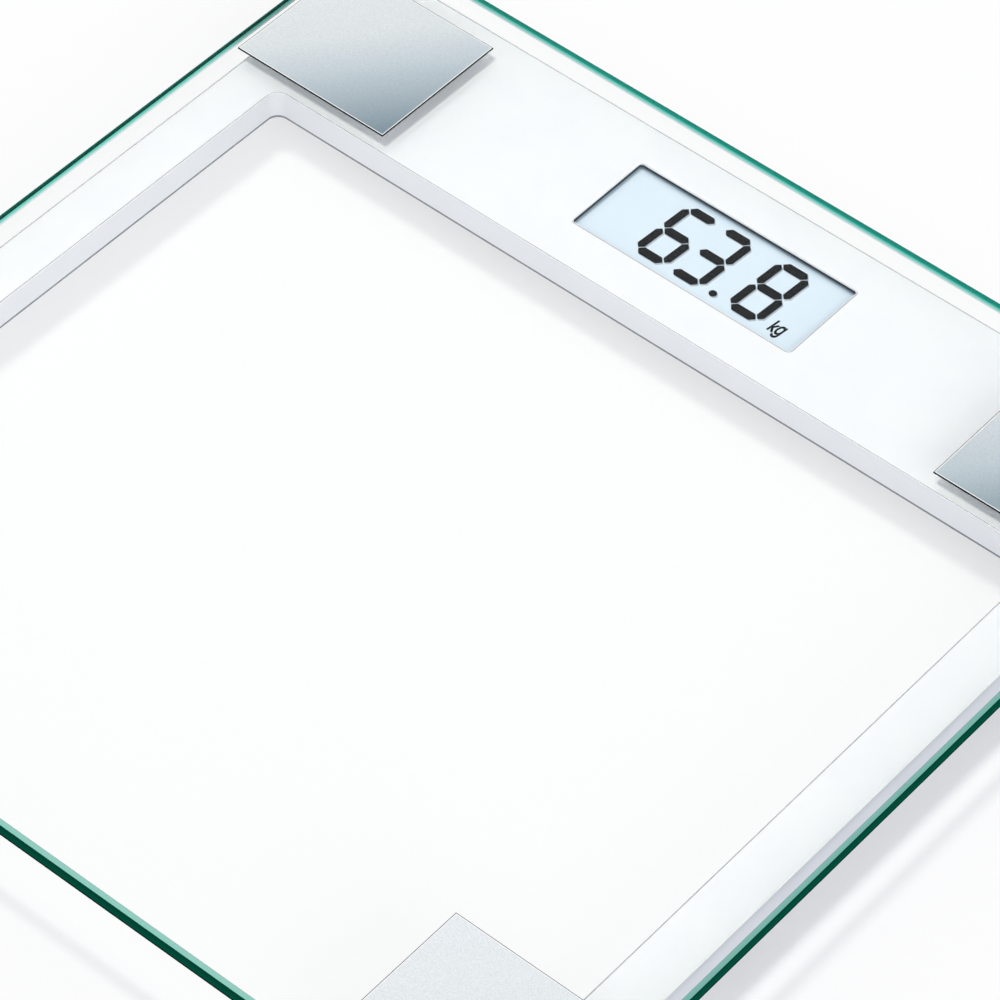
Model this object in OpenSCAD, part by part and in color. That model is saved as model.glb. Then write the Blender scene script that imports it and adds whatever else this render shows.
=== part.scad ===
// Glass personal scale: a clear glass platform on a U-shaped plastic frame with four weighing feet.
// Millimetres. The origin is on the floor under the middle of the platform, +Z up, +Y to the display.

/* [Glass platform] */
// Width of the glass
glass_w = 300; // [270:1:360]
// Depth of the glass
glass_d = 300; // [280:1:360]
// Thickness of the glass
glass_t = 6; // [5:0.5:10]
// Corner radius of the glass
glass_corner_r = 8; // [5:0.5:11]
// Bevel along the top edge
top_bevel = 1; // [0.3:0.1:1.5]
// Bevel along the bottom edge
bottom_bevel = 1; // [0.3:0.1:2]

/* [Steel plates] */
// Width of a steel plate
plate_w = 52.5; // [46:0.5:60]
// Depth of a steel plate
plate_d = 46.5; // [42:0.5:54]
// Thickness of a steel plate
plate_t = 0.4; // [0.3:0.1:1]
// Thickness of the adhesive film under a plate
plate_film_t = 0.1; // [0.05:0.05:0.3]
// Margin of the adhesive film inside the plate's edge
plate_film_margin = 1; // [0.5:0.5:4]
// Distance from the glass side to a plate
plate_side_inset = 4.5; // [4:0.5:8]
// Distance from the glass back edge to a plate
plate_back_inset = 14.5; // [8:0.5:20]
// Distance from the glass front edge to a plate
plate_front_inset = 4.5; // [4:0.5:8]

/* [Frame shell] */
// Distance from the glass edge to the frame
frame_inset = 5.8; // [5:0.1:8]
// Width of a side bar
side_bar_w = 14.6; // [13:0.1:18]
// Depth of the display bar at the back
back_bar_d = 57; // [55:0.2:70]
// Width of a front foot housing
pod_w = 47.2; // [45:0.1:50]
// Depth of a front foot housing
pod_d = 43.2; // [41:0.1:48]
// Wall thickness of the shell
shell_wall = 1.8; // [1.2:0.1:2.2]
// Thickness of the shell's top
shell_top = 2; // [1.8:0.1:3]
// Radius of the frame's outer corners
outer_corner_r = 8; // [5:0.5:10]
// Radius of the frame's inner corners
inner_corner_r = 3.5; // [1:0.5:8]
// Height of the frame above the floor
ground_gap = 7; // [5.5:0.5:12]
// Thickness of the foam pads between frame and glass
bond_t = 0.8; // [0.5:0.1:2]
// Width of a foam pad
bond_w = 40; // [30:1:42]
// Depth of a foam pad
bond_d = 36; // [28:1:40]

/* [Bottom covers] */
// Thickness of the covers
cover_t = 2; // [1.8:0.1:3]
// Gap between a cover and the shell, and between covers
cover_gap = 0.2; // [0.1:0.05:0.4]
// Radius of a screw boss
boss_r = 3; // [2.6:0.1:3.4]
// Radius of a cover screw's shank
screw_r = 1.1; // [0.9:0.1:1.3]
// Radius of a cover screw's head
screw_head_r = 2.3; // [2:0.1:2.5]
// Height of a cover screw's head
screw_head_h = 1.1; // [0.8:0.1:1.2]
// Depth of a screw's thread in its boss
screw_bite = 4.2; // [3:0.2:4.6]
// Least width of cover around a sunk screw head
screw_rim = 0.7; // [0.4:0.1:1]
// Distance of the side screws from the middle of the side bars
side_screw_pitch = 52; // [30:1:60]

/* [Weighing feet] */
// Radius of a foot
foot_r = 16; // [13:0.5:16.5]
// Radius of the flange that keeps a foot in its cover
flange_r = 18; // [17.5:0.1:18.4]
// Thickness of the flange
flange_t = 1; // [0.8:0.1:2]
// Gap under the flange with the foot at rest
flange_gap = 0.2; // [0.1:0.1:0.6]
// Travel of a foot under full load
foot_travel = 0.5; // [0.3:0.1:1]
// Gap left above the flange at full load
travel_clear = 0.3; // [0.2:0.1:1]
// Gap around a foot in its cover
foot_gap = 0.5; // [0.3:0.1:0.8]
// Radius of the stem that presses on the load cell
stem_r = 4.5; // [3:0.5:6]
// Radius of the pin that centres the stem
stem_pin_r = 2; // [1:0.1:2.4]
// Height of the pin that centres the stem
stem_pin_h = 1; // [0.6:0.1:1.2]
// Radius of the rubber pad
foot_pad_r = 13.5; // [9:0.5:14.5]
// Thickness of the rubber pad
foot_pad_t = 2.6; // [1.5:0.1:4]
// Depth of the pad's recess in the foot
foot_pad_recess = 0.8; // [0.4:0.1:1.4]

/* [Load cells] */
// Width of a load cell
cell_w = 27; // [25:0.5:28]
// Depth of a load cell
cell_d = 30; // [28:0.5:30.5]
// Thickness of a load cell
cell_t = 1.5; // [1.2:0.1:2.5]
// Cut corners of a load cell
cell_cut = 3; // [2.5:0.5:4]
// Width of the tongue
tongue_w = 13; // [12:0.5:14]
// Length of the tongue
tongue_l = 19; // [17:0.5:21]
// Width of the slot around the tongue
tongue_slot = 1.5; // [1:0.1:1.8]
// Free height above the tongue
tongue_gap = 0.5; // [0.4:0.1:1]
// Thickness of a strain gauge
gauge_t = 0.2; // [0.1:0.05:0.3]
// Width of a strain gauge
gauge_w = 6; // [3:0.5:10]
// Length of a strain gauge
gauge_l = 4; // [2:0.5:4]
// Thickness of a carrier ring
carrier_t = 1.2; // [1:0.1:2]
// Radius of a carrier ring
carrier_r = 18.5; // [18:0.1:18.8]
// Depth of a carrier ring across its flats
carrier_d = 32; // [30:0.5:33]
// Width of the opening in a carrier ring
carrier_opening = 20; // [18:0.5:22]
// Radius of the posts that a carrier is staked to
stake_r = 1.25; // [0.8:0.05:1.4]
// Distance of a post from the foot's axis
stake_x = 16; // [15.6:0.1:16.4]
// Gap around posts, pins and screw shanks in their holes
hole_gap = 0.1; // [0.05:0.05:0.2]

/* [Wiring] */
// Width of a load cell's ribbon lead
lead_w = 3; // [2:0.2:3.2]
// Thickness of the ribbon leads
lead_t = 1.2; // [0.8:0.1:1.3]
// Gap between a lead and what it runs along
lead_gap = 0.3; // [0.2:0.1:0.5]
// Width of the battery's ribbon lead
battery_lead_w = 2; // [1.4:0.1:2.4]

/* [Display] */
// Width of the display window
window_w = 73.7; // [60:0.1:76]
// Depth of the display window
window_d = 29.6; // [22:0.1:31]
// Distance from the glass back edge to the middle of the window
window_back_inset = 33.6; // [33:0.1:36]
// Corner radius of the window
window_corner_r = 1.1; // [0.3:0.1:2]
// Depth of the display under the frame's top
window_depth = 1.7; // [1:0.1:1.7]
// Width of the display panel
lcd_w = 80; // [78:0.5:82]
// Depth of the display panel
lcd_d = 34.4; // [33:0.2:36]
// Thickness of the display panel
lcd_t = 2; // [1.4:0.1:2.4]
// Thickness of the light guide
guide_t = 1.5; // [1:0.1:1.8]
// Width of the panel's ledge beyond each end of the light guide
guide_ledge = 2.4; // [2:0.1:4]
// Wall and floor of the display holder
holder_wall = 1.2; // [0.8:0.1:1.5]
// Gap around the panel in its holder
lcd_gap = 0.2; // [0.1:0.05:0.4]
// Distance of the holder's screws from the window's middle
ear_pitch = 13; // [10:0.5:15]
// Height of a digit
digit_h = 23.7; // [14:0.1:25]
// Width of a digit without its slant
digit_w = 11.3; // [6:0.1:12]
// Lean of a digit over its height
digit_lean = 1.5; // [0:0.1:2]
// Width of an upright segment
upright_w = 2.4; // [1:0.1:2.6]
// Width of a level segment
level_w = 2.9; // [1:0.1:3.2]
// Gap between the pointed ends of segments
segment_gap = 0.5; // [0.2:0.1:0.8]
// Height of the segments on the panel
segment_t = 0.1; // [0.05:0.05:0.2]
// Radius of the decimal point
point_r = 1.15; // [0.6:0.05:1.4]

/* [Electronics] */
// Gap between the board and the nearest screw boss
board_gap = 4.1; // [0.5:0.1:10]
// Depth of the board
board_d = 50; // [46:0.5:51]
// Thickness of the board
board_t = 1.2; // [0.8:0.1:1.6]
// Height of the bosses that carry the board
board_drop = 1.2; // [1:0.1:1.4]
// Radius of the small screws of board and holder
small_screw_r = 0.9; // [0.7:0.1:1.1]
// Radius of the small screws' heads
small_head_r = 1.8; // [1.5:0.1:2]
// Height of the small screws' heads
small_head_h = 0.8; // [0.6:0.1:0.9]
// Depth of the small screws in their bosses
small_bite = 1.9; // [1.4:0.1:2.2]
// Side of the controller chip
chip_side = 12; // [8:0.5:14]
// Height of the controller chip
chip_h = 1.4; // [0.8:0.1:1.8]
// Side of the push switch
switch_side = 5; // [4:0.2:6.5]
// Height of the push switch's body
switch_h = 1.2; // [1:0.1:1.4]
// Radius of the switch plunger
plunger_r = 1.3; // [0.9:0.1:1.6]

/* [Unit button] */
// Radius of the button
button_r = 4.5; // [3:0.1:5.5]
// Radius of the button's flange
button_flange_r = 6; // [5.8:0.1:7]
// Thickness of the button's flange
button_flange_t = 0.6; // [0.4:0.1:0.8]
// Gap around the button
button_gap = 0.2; // [0.1:0.05:0.4]
// Depth of the button's face inside the cover
button_sunk = 0.4; // [0:0.1:0.8]
// Travel of the button
button_travel = 0.5; // [0.2:0.05:0.55]

/* [Battery] */
// Radius of the coin cell
coin_r = 10; // [8:0.1:10.6]
// Thickness of the coin cell
coin_t = 3.2; // [2:0.1:3.4]
// Gap around the coin cell
coin_gap = 0.4; // [0.2:0.05:0.6]
// Thickness of the battery housing's walls
bay_wall = 1.2; // [0.8:0.1:1.5]
// Free width beside the coin cell's ring
bay_side = 3; // [2:0.1:4]
// Thickness of the contact strips
contact_t = 0.3; // [0.2:0.05:0.4]
// Width of the contact strips
contact_w = 4; // [2.5:0.1:5]
// Thickness of the battery door
door_t = 1.6; // [1.2:0.1:1.8]
// Gap around the battery door
door_gap = 0.3; // [0.2:0.05:0.4]
// Radius of the door's rounded hinge edge
door_nose_r = 1.6; // [1.5:0.05:2]
// Radius of the door's hinge pins
door_pin_r = 1; // [0.7:0.05:1.1]
// Length of a hinge pin
door_pin_l = 2.2; // [1.5:0.1:2.6]
// Running gap around a hinge pin
door_pin_gap = 0.08; // [0.05:0.01:0.1]
// Width of the door's finger notch
notch_w = 12; // [8:0.5:16]
// Depth of the door's finger notch
notch_d = 2.5; // [1.5:0.1:3]

/* [Hidden] */
$fn = 64;
CORNERS = ["back_left", "back_right", "front_left", "front_right"];

// Cuts run past the faces that they open by this much
past = 1;

// Heights, from the floor up
frame_z0 = ground_gap;
cover_z1 = frame_z0 + cover_t;
flange_z0 = cover_z1 + flange_gap;
flange_z1 = flange_z0 + flange_t;
carrier_z0 = flange_z1 + foot_travel + travel_clear;
cell_z0 = carrier_z0 + carrier_t;
cell_z1 = cell_z0 + cell_t;
ceiling_z = cell_z1 + tongue_gap;
frame_z1 = ceiling_z + shell_top;
glass_z0 = frame_z1 + bond_t;
glass_z1 = glass_z0 + glass_t;

// Plan of the frame
half_w = glass_w / 2 - frame_inset;
half_d = glass_d / 2 - frame_inset;
bar_in = half_w - side_bar_w;
back_y0 = half_d - back_bar_d;
back_mid_y = half_d - back_bar_d / 2;
pod_in = half_w - pod_w;
pod_y1 = -half_d + pod_d;
cover_inset = shell_wall + cover_gap;
split_y = back_y0 + cover_inset;

// Places of the feet, under the middle of each housing
foot_x = half_w - pod_w / 2;
front_foot_y = -half_d + pod_d / 2;
FOOT_Y = [back_mid_y, front_foot_y];

// Cover screws. In round corners their heads keep off the wall.
boss_wall = shell_wall + boss_r;
corner_room = outer_corner_r - cover_inset - screw_head_r - screw_rim;
corner_screw = max(boss_wall, outer_corner_r - corner_room / sqrt(2));
inner_screw_x = foot_x - carrier_r - boss_r - lead_gap;

// Wiring runs under the ceiling
lead_z0 = cell_z0 + hole_gap;
bar_lead_x = bar_in + shell_wall + lead_gap + lead_w / 2;
front_lead_y = back_y0 + shell_wall + lead_gap + lead_w / 2;
battery_lead_y = front_lead_y + lead_w / 2 + lead_gap + battery_lead_w / 2;
pod_lead_y = pod_y1 - shell_wall - lead_gap - lead_w / 2;

// Display stack, hung from the frame's top
window_y = glass_d / 2 - window_back_inset;
lcd_z1 = frame_z1 - window_depth;
lcd_z0 = lcd_z1 - lcd_t;
guide_z0 = lcd_z0 - guide_t;
holder_z0 = guide_z0 - holder_wall;
holder_in_w = lcd_w + 2 * lcd_gap;
holder_in_d = lcd_d + 2 * lcd_gap;
holder_w = holder_in_w + 2 * holder_wall;
holder_d = holder_in_d + 2 * holder_wall;
guide_w = lcd_w - 2 * guide_ledge;
ear_r = small_head_r + holder_wall;
ear_x = holder_w / 2 + ear_r;
ear_drop = small_bite;
ear_z1 = ceiling_z - ear_drop;
ear_z0 = ear_z1 - holder_wall;

// Digits on the display, with places from the window's left and front edges
DIGIT_STARTS = [17.3, 29.4, 48.9];
LIT = ["acdefg", "abcdg", "abcdefg"];
digit_rise = (window_d - digit_h) / 2 + level_w / 5;
point_u = 44.4;

// Board, beside the display
board_x1 = -ear_x - ear_r - lead_gap;
board_x0 = boss_r + board_gap - inner_screw_x;
board_w = board_x1 - board_x0;
board_x = (board_x0 + board_x1) / 2;
board_z1 = ceiling_z - board_drop;
board_z0 = board_z1 - board_t;
board_hole = small_head_r + holder_wall;
back_lead_y = back_mid_y + board_d / 2 - lead_w / 2 - lead_gap;
flex_t = 0.3;
flex_d = 16;

// Push switch and button, under the board
button_face_z = frame_z0 + button_sunk;
button_flange_z0 = cover_z1 + button_gap;
button_flange_z1 = button_flange_z0 + button_flange_t;
switch_z0 = board_z0 - switch_h;
plunger_z0 = button_flange_z1;
plunger_z1 = switch_z0 + switch_h / 4;

// Battery housing in the back cover
ring_in = coin_r + coin_gap;
ring_out = ring_in + bay_wall;
door_half_w = ring_out + bay_side;
bay_half_w = door_half_w + door_gap;
bay_x = ear_x + ear_r + lead_gap + battery_lead_w + lead_w + bay_wall + bay_half_w;
bay_y = back_mid_y - door_nose_r;
door_y0 = bay_y - ring_out - door_gap;
door_axis_y = bay_y + ring_out + door_gap + door_nose_r;
door_axis_z = frame_z0 + door_nose_r;
door_z1 = frame_z0 + door_t;
bay_y0 = door_y0 - door_gap;
bay_y1 = door_axis_y + door_nose_r + door_gap;
coin_z0 = door_z1 + door_gap;
coin_z1 = coin_z0 + coin_t;
leaf_z1 = coin_z1 + coin_gap / 8 + contact_t;
roof_z0 = leaf_z1 + coin_gap / 2;
hinge_block = door_pin_l + bay_wall;
tab_x = bay_x - bay_half_w - bay_wall - lead_w;
positive_z = coin_z0 + coin_t / 2;
leaf_y = bay_y + coin_r / 2;

// Places of the cover screws, for the right half. Those of the display bar clear the battery housing.
back_screw_dy = bay_y1 + bay_wall + lead_gap + boss_r - back_mid_y;
BACK_SCREWS = [
    [half_w - corner_screw, half_d - corner_screw],
    [inner_screw_x, back_mid_y - back_screw_dy],
    [inner_screw_x, back_mid_y + back_screw_dy]
];
SIDE_SCREWS = [
    [half_w - boss_wall, side_screw_pitch],
    [half_w - boss_wall, -side_screw_pitch],
    [half_w - corner_screw, corner_screw - half_d],
    [pod_in + corner_screw, corner_screw - half_d],
    [pod_in + corner_screw, pod_y1 - corner_screw]
];

// Colours of the materials
WHITE = [0.97, 0.98, 0.99];
STEEL = [0.72, 0.74, 0.76];
DARK = [0.20, 0.21, 0.22];
COPPER = [0.80, 0.60, 0.35];

// Shapes that repeat

module rounded_rect(x0, y0, x1, y1, r) {
    translate([x0 + r, y0]) square([x1 - x0 - 2 * r, y1 - y0]);
    translate([x0, y0 + r]) square([x1 - x0, y1 - y0 - 2 * r]);
    for (x = [x0 + r, x1 - r], y = [y0 + r, y1 - r])
        translate([x, y]) circle(r);
}

module slab(z0, z1) {
    translate([0, 0, z0]) linear_extrude(z1 - z0) children();
}

module both_sides() {
    children();
    mirror([1, 0, 0]) children();
}

module box_between(low, high) {
    translate(low) cube(high - low);
}

module rod(x, y, z0, z1, r) {
    translate([x, y, z0]) cylinder(h = z1 - z0, r = r);
}

// A ribbon along a line of points, with round joints
module ribbon(points, width) {
    for (i = [1 : len(points) - 1]) {
        from = points[i - 1];
        run = points[i] - from;
        translate(from)
            rotate(atan2(run.y, run.x))
                translate([0, -width / 2]) square([norm(run), width]);
    }
    for (i = [1 : len(points) - 2])
        translate(points[i]) circle(width / 2);
}

// A screw from below whose head sits under height z
module screw(x, y, z, head_r, head_h, shank_r, length) {
    slot = head_r / 4;
    difference() {
        union() {
            rod(x, y, z - head_h, z, head_r);
            rod(x, y, z - head_h / 2, z + length, shank_r);
        }
        for (turn = [0, 90])
            translate([x, y, z - head_h])
                rotate(turn)
                    cube([head_r * 1.2, slot, head_h], center = true);
    }
}

// Plans of the frame's bars and foot housings, drawn in by an inset
module back_bar_plan(inset) {
    rounded_rect(inset - half_w, back_y0 + inset, half_w - inset, half_d - inset, outer_corner_r - inset);
}

module side_bar_plan(inset, y1) {
    translate([bar_in + inset, front_foot_y]) square([side_bar_w - 2 * inset, y1 - front_foot_y]);
}

module pod_plan(inset) {
    rounded_rect(pod_in + inset, inset - half_d, half_w - inset, pod_y1 - inset, outer_corner_r - inset);
}

module frame_plan(inset) {
    back_bar_plan(inset);
    both_sides() {
        side_bar_plan(inset, back_mid_y);
        pod_plan(inset);
    }
}

// Fillets in the four inner corners of the frame
module inner_fillets() {
    r = inner_corner_r;
    for (corner = [[back_y0, -1], [pod_y1, 1]])
        difference() {
            translate([bar_in - r, corner[0] + (corner[1] - 1) * r / 2])
                square([r + past, r]);
            translate([bar_in - r, corner[0] + corner[1] * r]) circle(r);
        }
}

// Sub-parts seen from above

module glass_platform() {
    r = glass_corner_r;
    function side(reach) = [
        [0, 0], [reach - bottom_bevel, 0], [reach, bottom_bevel],
        [reach, glass_t - top_bevel], [reach - top_bevel, glass_t], [0, glass_t]
    ];
    color([0.75, 0.92, 0.88, 0.4])
        translate([0, 0, glass_z0]) {
            for (flip = [0, 1])
                mirror([0, flip, 0])
                    rotate([90, 0, 90])
                        linear_extrude(glass_w - 2 * r, center = true) polygon(side(glass_d / 2));
            for (flip = [0, 1])
                mirror([flip, 0, 0])
                    rotate([90, 0, 0])
                        linear_extrude(glass_d - 2 * r, center = true) polygon(side(glass_w / 2));
            for (x = [r - glass_w / 2, glass_w / 2 - r], y = [r - glass_d / 2, glass_d / 2 - r])
                translate([x, y, 0]) rotate_extrude() polygon(side(r));
        }
}

function side_sign(corner) = corner % 2 == 0 ? -1 : 1;
function is_front(corner) = corner >= 2;
function plate_x(corner) = side_sign(corner) * (glass_w / 2 - plate_side_inset - plate_w / 2);
function plate_y(corner) = is_front(corner)
    ? -glass_d / 2 + plate_front_inset + plate_d / 2
    : glass_d / 2 - plate_back_inset - plate_d / 2;
function foot_place(corner) = [side_sign(corner) * foot_x, FOOT_Y[is_front(corner) ? 1 : 0], 0];

module steel_plate(corner) {
    color(STEEL)
        translate([plate_x(corner), plate_y(corner), glass_z1 + plate_film_t])
            linear_extrude(plate_t) square([plate_w, plate_d], center = true);
}

module plate_films() {
    film_w = plate_w - 2 * plate_film_margin;
    film_d = plate_d - 2 * plate_film_margin;
    color([0.9, 0.9, 0.9])
        for (corner = [0 : 3])
            translate([plate_x(corner), plate_y(corner), glass_z1])
                linear_extrude(plate_film_t) square([film_w, film_d], center = true);
}

module bond_pads() {
    color([0.93, 0.93, 0.93])
        for (corner = [0 : 3])
            translate(foot_place(corner) + [0, 0, frame_z1])
                linear_extrude(bond_t) square([bond_w, bond_d], center = true);
}

// Ribs that seat a load cell's rim, and the posts its carrier is staked to
module cell_seat() {
    rib_x0 = tongue_w / 2 + tongue_slot + lead_gap;
    rib_x1 = cell_w / 2 - lead_gap;
    rib_l = cell_d - 2 * cell_cut;
    for (flip = [0, 1])
        mirror([flip, 0, 0]) {
            box_between([rib_x0, -rib_l / 2, cell_z1], [rib_x1, rib_l / 2, ceiling_z + past]);
            rod(stake_x, 0, carrier_z0, ceiling_z + past, stake_r);
        }
}

// Hole for a screw that bites into a boss from below
module pilot_hole(place, z, bite, r) {
    rod(place.x, place.y, z - past, z + bite + hole_gap, r + hole_gap);
}

module frame_shell() {
    color(WHITE)
        difference() {
            union() {
                difference() {
                    slab(frame_z0, frame_z1) {
                        frame_plan(0);
                        both_sides() inner_fillets();
                    }
                    slab(frame_z0 - past, ceiling_z) frame_plan(shell_wall);
                }
                both_sides()
                    for (place = concat(BACK_SCREWS, SIDE_SCREWS))
                        rod(place.x, place.y, cover_z1, ceiling_z + past, boss_r);
                for (corner = [0 : 3])
                    translate(foot_place(corner)) cell_seat();
                for (place = board_holes())
                    rod(place.x, place.y, board_z1, ceiling_z + past, small_head_r);
                for (place = ear_places())
                    rod(place.x, place.y, ear_z1, ceiling_z + past, small_head_r);
            }
            both_sides()
                for (place = concat(BACK_SCREWS, SIDE_SCREWS))
                    pilot_hole(place, cover_z1, screw_bite, screw_r);
            for (place = board_holes())
                pilot_hole(place, board_z1, small_bite, small_screw_r);
            for (place = ear_places())
                pilot_hole(place, ear_z1, small_bite, small_screw_r);
            slab(lcd_z1 - past, frame_z1 + past)
                translate([0, window_y])
                    rounded_rect(-window_w / 2, -window_d / 2, window_w / 2, window_d / 2, window_corner_r);
            translate([0, window_y, ceiling_z - past])
                linear_extrude(lcd_z1 - ceiling_z + past)
                    square([holder_in_w, holder_in_d], center = true);
        }
}

// Bottom covers

module cover_holes(places) {
    for (place = places) {
        rod(place.x, place.y, frame_z0 - past, cover_z1 + past, screw_r + hole_gap);
        rod(place.x, place.y, frame_z0 - past, screw_seat_z(), screw_head_r + button_gap);
    }
}

function screw_seat_z() = frame_z0 + screw_head_h + hole_gap;

module foot_hole(y) {
    rod(foot_x, y, frame_z0 - past, cover_z1 + past, foot_r + foot_gap);
}

// Housing of the coin cell, with blocks for the hinge sockets
module bay_body() {
    out_x = bay_half_w + bay_wall;
    block_z1 = door_axis_z + door_pin_r + bay_wall;
    box_between([bay_x - out_x, bay_y0 - bay_wall, frame_z0],
                [bay_x + out_x, bay_y1 + bay_wall, roof_z0 + bay_wall]);
    box_between([bay_x - bay_half_w - hinge_block, door_axis_y - 2 * door_nose_r, frame_z0],
                [bay_x + bay_half_w + hinge_block, bay_y1 + bay_wall, block_z1]);
}

// Hollow of the housing around the cell's ring, hinge sockets, contact slots and finger notch
module bay_cuts() {
    side_y = contact_w / 2 + hole_gap;
    difference() {
        box_between([bay_x - bay_half_w, bay_y0, frame_z0 - past], [bay_x + bay_half_w, bay_y1, roof_z0]);
        difference() {
            rod(bay_x, bay_y, coin_z0, roof_z0 + past, ring_out);
            rod(bay_x, bay_y, coin_z0 - past, roof_z0, ring_in);
        }
    }
    translate([bay_x, door_axis_y, door_axis_z])
        rotate([0, 90, 0])
            cylinder(h = 2 * (bay_half_w + door_pin_l), r = door_pin_r + door_pin_gap, center = true);
    box_between([tab_x - past, bay_y - side_y, cover_z1],
                [bay_x - coin_r, bay_y + side_y, positive_z + contact_t]);
    box_between([tab_x - past, leaf_y - side_y, leaf_z1 - contact_t - hole_gap],
                [bay_x, leaf_y + side_y, roof_z0]);
    box_between([bay_x - notch_w / 2, bay_y0 - notch_d, frame_z0 - past],
                [bay_x + notch_w / 2, bay_y0 + past, door_z1]);
}

module back_cover() {
    inset = cover_inset;
    color(WHITE)
        difference() {
            union() {
                slab(frame_z0, cover_z1) {
                    back_bar_plan(inset);
                    translate([inset - half_w, split_y])
                        square([2 * (half_w - inset), back_mid_y - split_y]);
                }
                bay_body();
            }
            both_sides() {
                cover_holes(BACK_SCREWS);
                foot_hole(back_mid_y);
            }
            rod(board_x, back_mid_y, frame_z0 - past, cover_z1 + past, button_r + button_gap);
            bay_cuts();
        }
}

module side_cover() {
    color(WHITE)
        difference() {
            slab(frame_z0, cover_z1) {
                side_bar_plan(cover_inset, split_y - cover_gap);
                pod_plan(cover_inset);
            }
            cover_holes(SIDE_SCREWS);
            foot_hole(front_foot_y);
        }
}

module right_cover() {
    side_cover();
}

module left_cover() {
    mirror([1, 0, 0]) side_cover();
}

module cover_screws() {
    color(STEEL)
        both_sides()
            for (place = concat(BACK_SCREWS, SIDE_SCREWS))
                screw(place.x, place.y, screw_seat_z(), screw_head_r, screw_head_h, screw_r,
                      cover_z1 + screw_bite - screw_seat_z());
}

// Weighing feet

module load_cell(corner) {
    x = cell_w / 2;
    y = cell_d / 2;
    c = cell_cut;
    tongue_y0 = -tongue_l / 2;
    color(STEEL)
        translate(foot_place(corner))
            slab(cell_z0, cell_z1)
                difference() {
                    polygon([[-x, c - y], [c - x, -y], [x - c, -y], [x, c - y],
                             [x, y - c], [x - c, y], [c - x, y], [-x, y - c]]);
                    difference() {
                        translate([-tongue_w / 2 - tongue_slot, tongue_y0 - tongue_slot])
                            square([tongue_w + 2 * tongue_slot, tongue_l + tongue_slot]);
                        translate([-tongue_w / 2, tongue_y0]) square([tongue_w, tongue_l]);
                    }
                    circle(stem_pin_r + 2 * hole_gap);
                }
}

module strain_gauges() {
    color(COPPER)
        for (corner = [0 : 3])
            translate(foot_place(corner) + [0, tongue_l / 2 - gauge_l / 2, cell_z1])
                linear_extrude(gauge_t) square([gauge_w, gauge_l], center = true);
}

module cell_carrier(corner) {
    color([0.85, 0.86, 0.88])
        translate(foot_place(corner))
            slab(carrier_z0, cell_z0)
                difference() {
                    intersection() {
                        circle(carrier_r);
                        square([2 * carrier_r, carrier_d], center = true);
                    }
                    square([carrier_opening, cell_d - 2 * cell_cut], center = true);
                    for (x = [-stake_x, stake_x])
                        translate([x, 0]) circle(stake_r + hole_gap);
                }
}

module foot(corner) {
    rim_z = foot_pad_t - foot_pad_recess;
    color([0.90, 0.91, 0.93])
        translate(foot_place(corner))
            rotate_extrude()
                polygon([
                    [0, foot_pad_t], [foot_pad_r + hole_gap, foot_pad_t], [foot_pad_r + hole_gap, rim_z],
                    [foot_r, rim_z], [foot_r, flange_z0], [flange_r, flange_z0], [flange_r, flange_z1],
                    [stem_r, flange_z1], [stem_r, cell_z0], [stem_pin_r, cell_z0],
                    [stem_pin_r, cell_z0 + stem_pin_h], [0, cell_z0 + stem_pin_h]
                ]);
}

module foot_pad(corner) {
    color(DARK)
        translate(foot_place(corner)) cylinder(h = foot_pad_t, r = foot_pad_r);
}

// Ribbon leads from the load cells to the board

function mirrored(points) = [for (p = points) [-p.x, p.y]];
cell_edge_x = foot_x + tongue_w / 2;
front_route = [
    [cell_edge_x, front_foot_y + cell_d / 2],
    [cell_edge_x, pod_lead_y],
    [bar_lead_x, pod_lead_y],
    [bar_lead_x, front_lead_y]
];
back_left_y = back_mid_y + cell_d / 4;
LEAD_ROUTES = [
    [[cell_w / 2 - foot_x, back_left_y], [board_x0, back_left_y]],
    [[foot_x, back_mid_y + cell_d / 2], [foot_x, back_lead_y], [board_x1, back_lead_y]],
    concat(mirrored(front_route), [[board_x0, front_lead_y]]),
    concat(front_route, [[board_x1, front_lead_y]])
];

module cell_lead(corner) {
    color([0.85, 0.15, 0.15])
        slab(lead_z0, lead_z0 + lead_t) ribbon(LEAD_ROUTES[corner], lead_w);
}

// Display

module lcd_panel() {
    color([0.80, 0.92, 0.98])
        translate([0, window_y, lcd_z0])
            linear_extrude(lcd_t) square([lcd_w, lcd_d], center = true);
}

// Outlines of a level and of an upright segment, with pointed ends
function level_bar(x0, x1, y) =
    let (point = upright_w / 2, r = level_w / 2)
    [[x0, y], [x0 + point, y + r], [x1 - point, y + r], [x1, y], [x1 - point, y - r], [x0 + point, y - r]];

function upright_bar(x, y0, y1) =
    let (r = upright_w / 2)
    [[x, y0], [x + r, y0 + r], [x + r, y1 - r], [x, y1], [x - r, y1 - r], [x - r, y0 + r]];

// Outlines of the seven segments, upright, from a digit's lower left corner
function segment_outline(name) =
    let (
        tip = segment_gap / sqrt(2),
        left = upright_w / 2,
        right = digit_w - upright_w / 2,
        low = level_w / 2,
        middle = digit_h / 2,
        high = digit_h - level_w / 2
    )
    name == "a" ? level_bar(left + tip, right - tip, high) :
    name == "b" ? upright_bar(right, middle + tip, high - tip) :
    name == "c" ? upright_bar(right, low + tip, middle - tip) :
    name == "d" ? level_bar(left + tip, right - tip, low) :
    name == "e" ? upright_bar(left, low + tip, middle - tip) :
    name == "f" ? upright_bar(left, middle + tip, high - tip) :
    level_bar(left + tip, right - tip, middle);

function leaned(points) = [for (p = points) [p.x + digit_lean * p.y / digit_h, p.y]];

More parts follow.
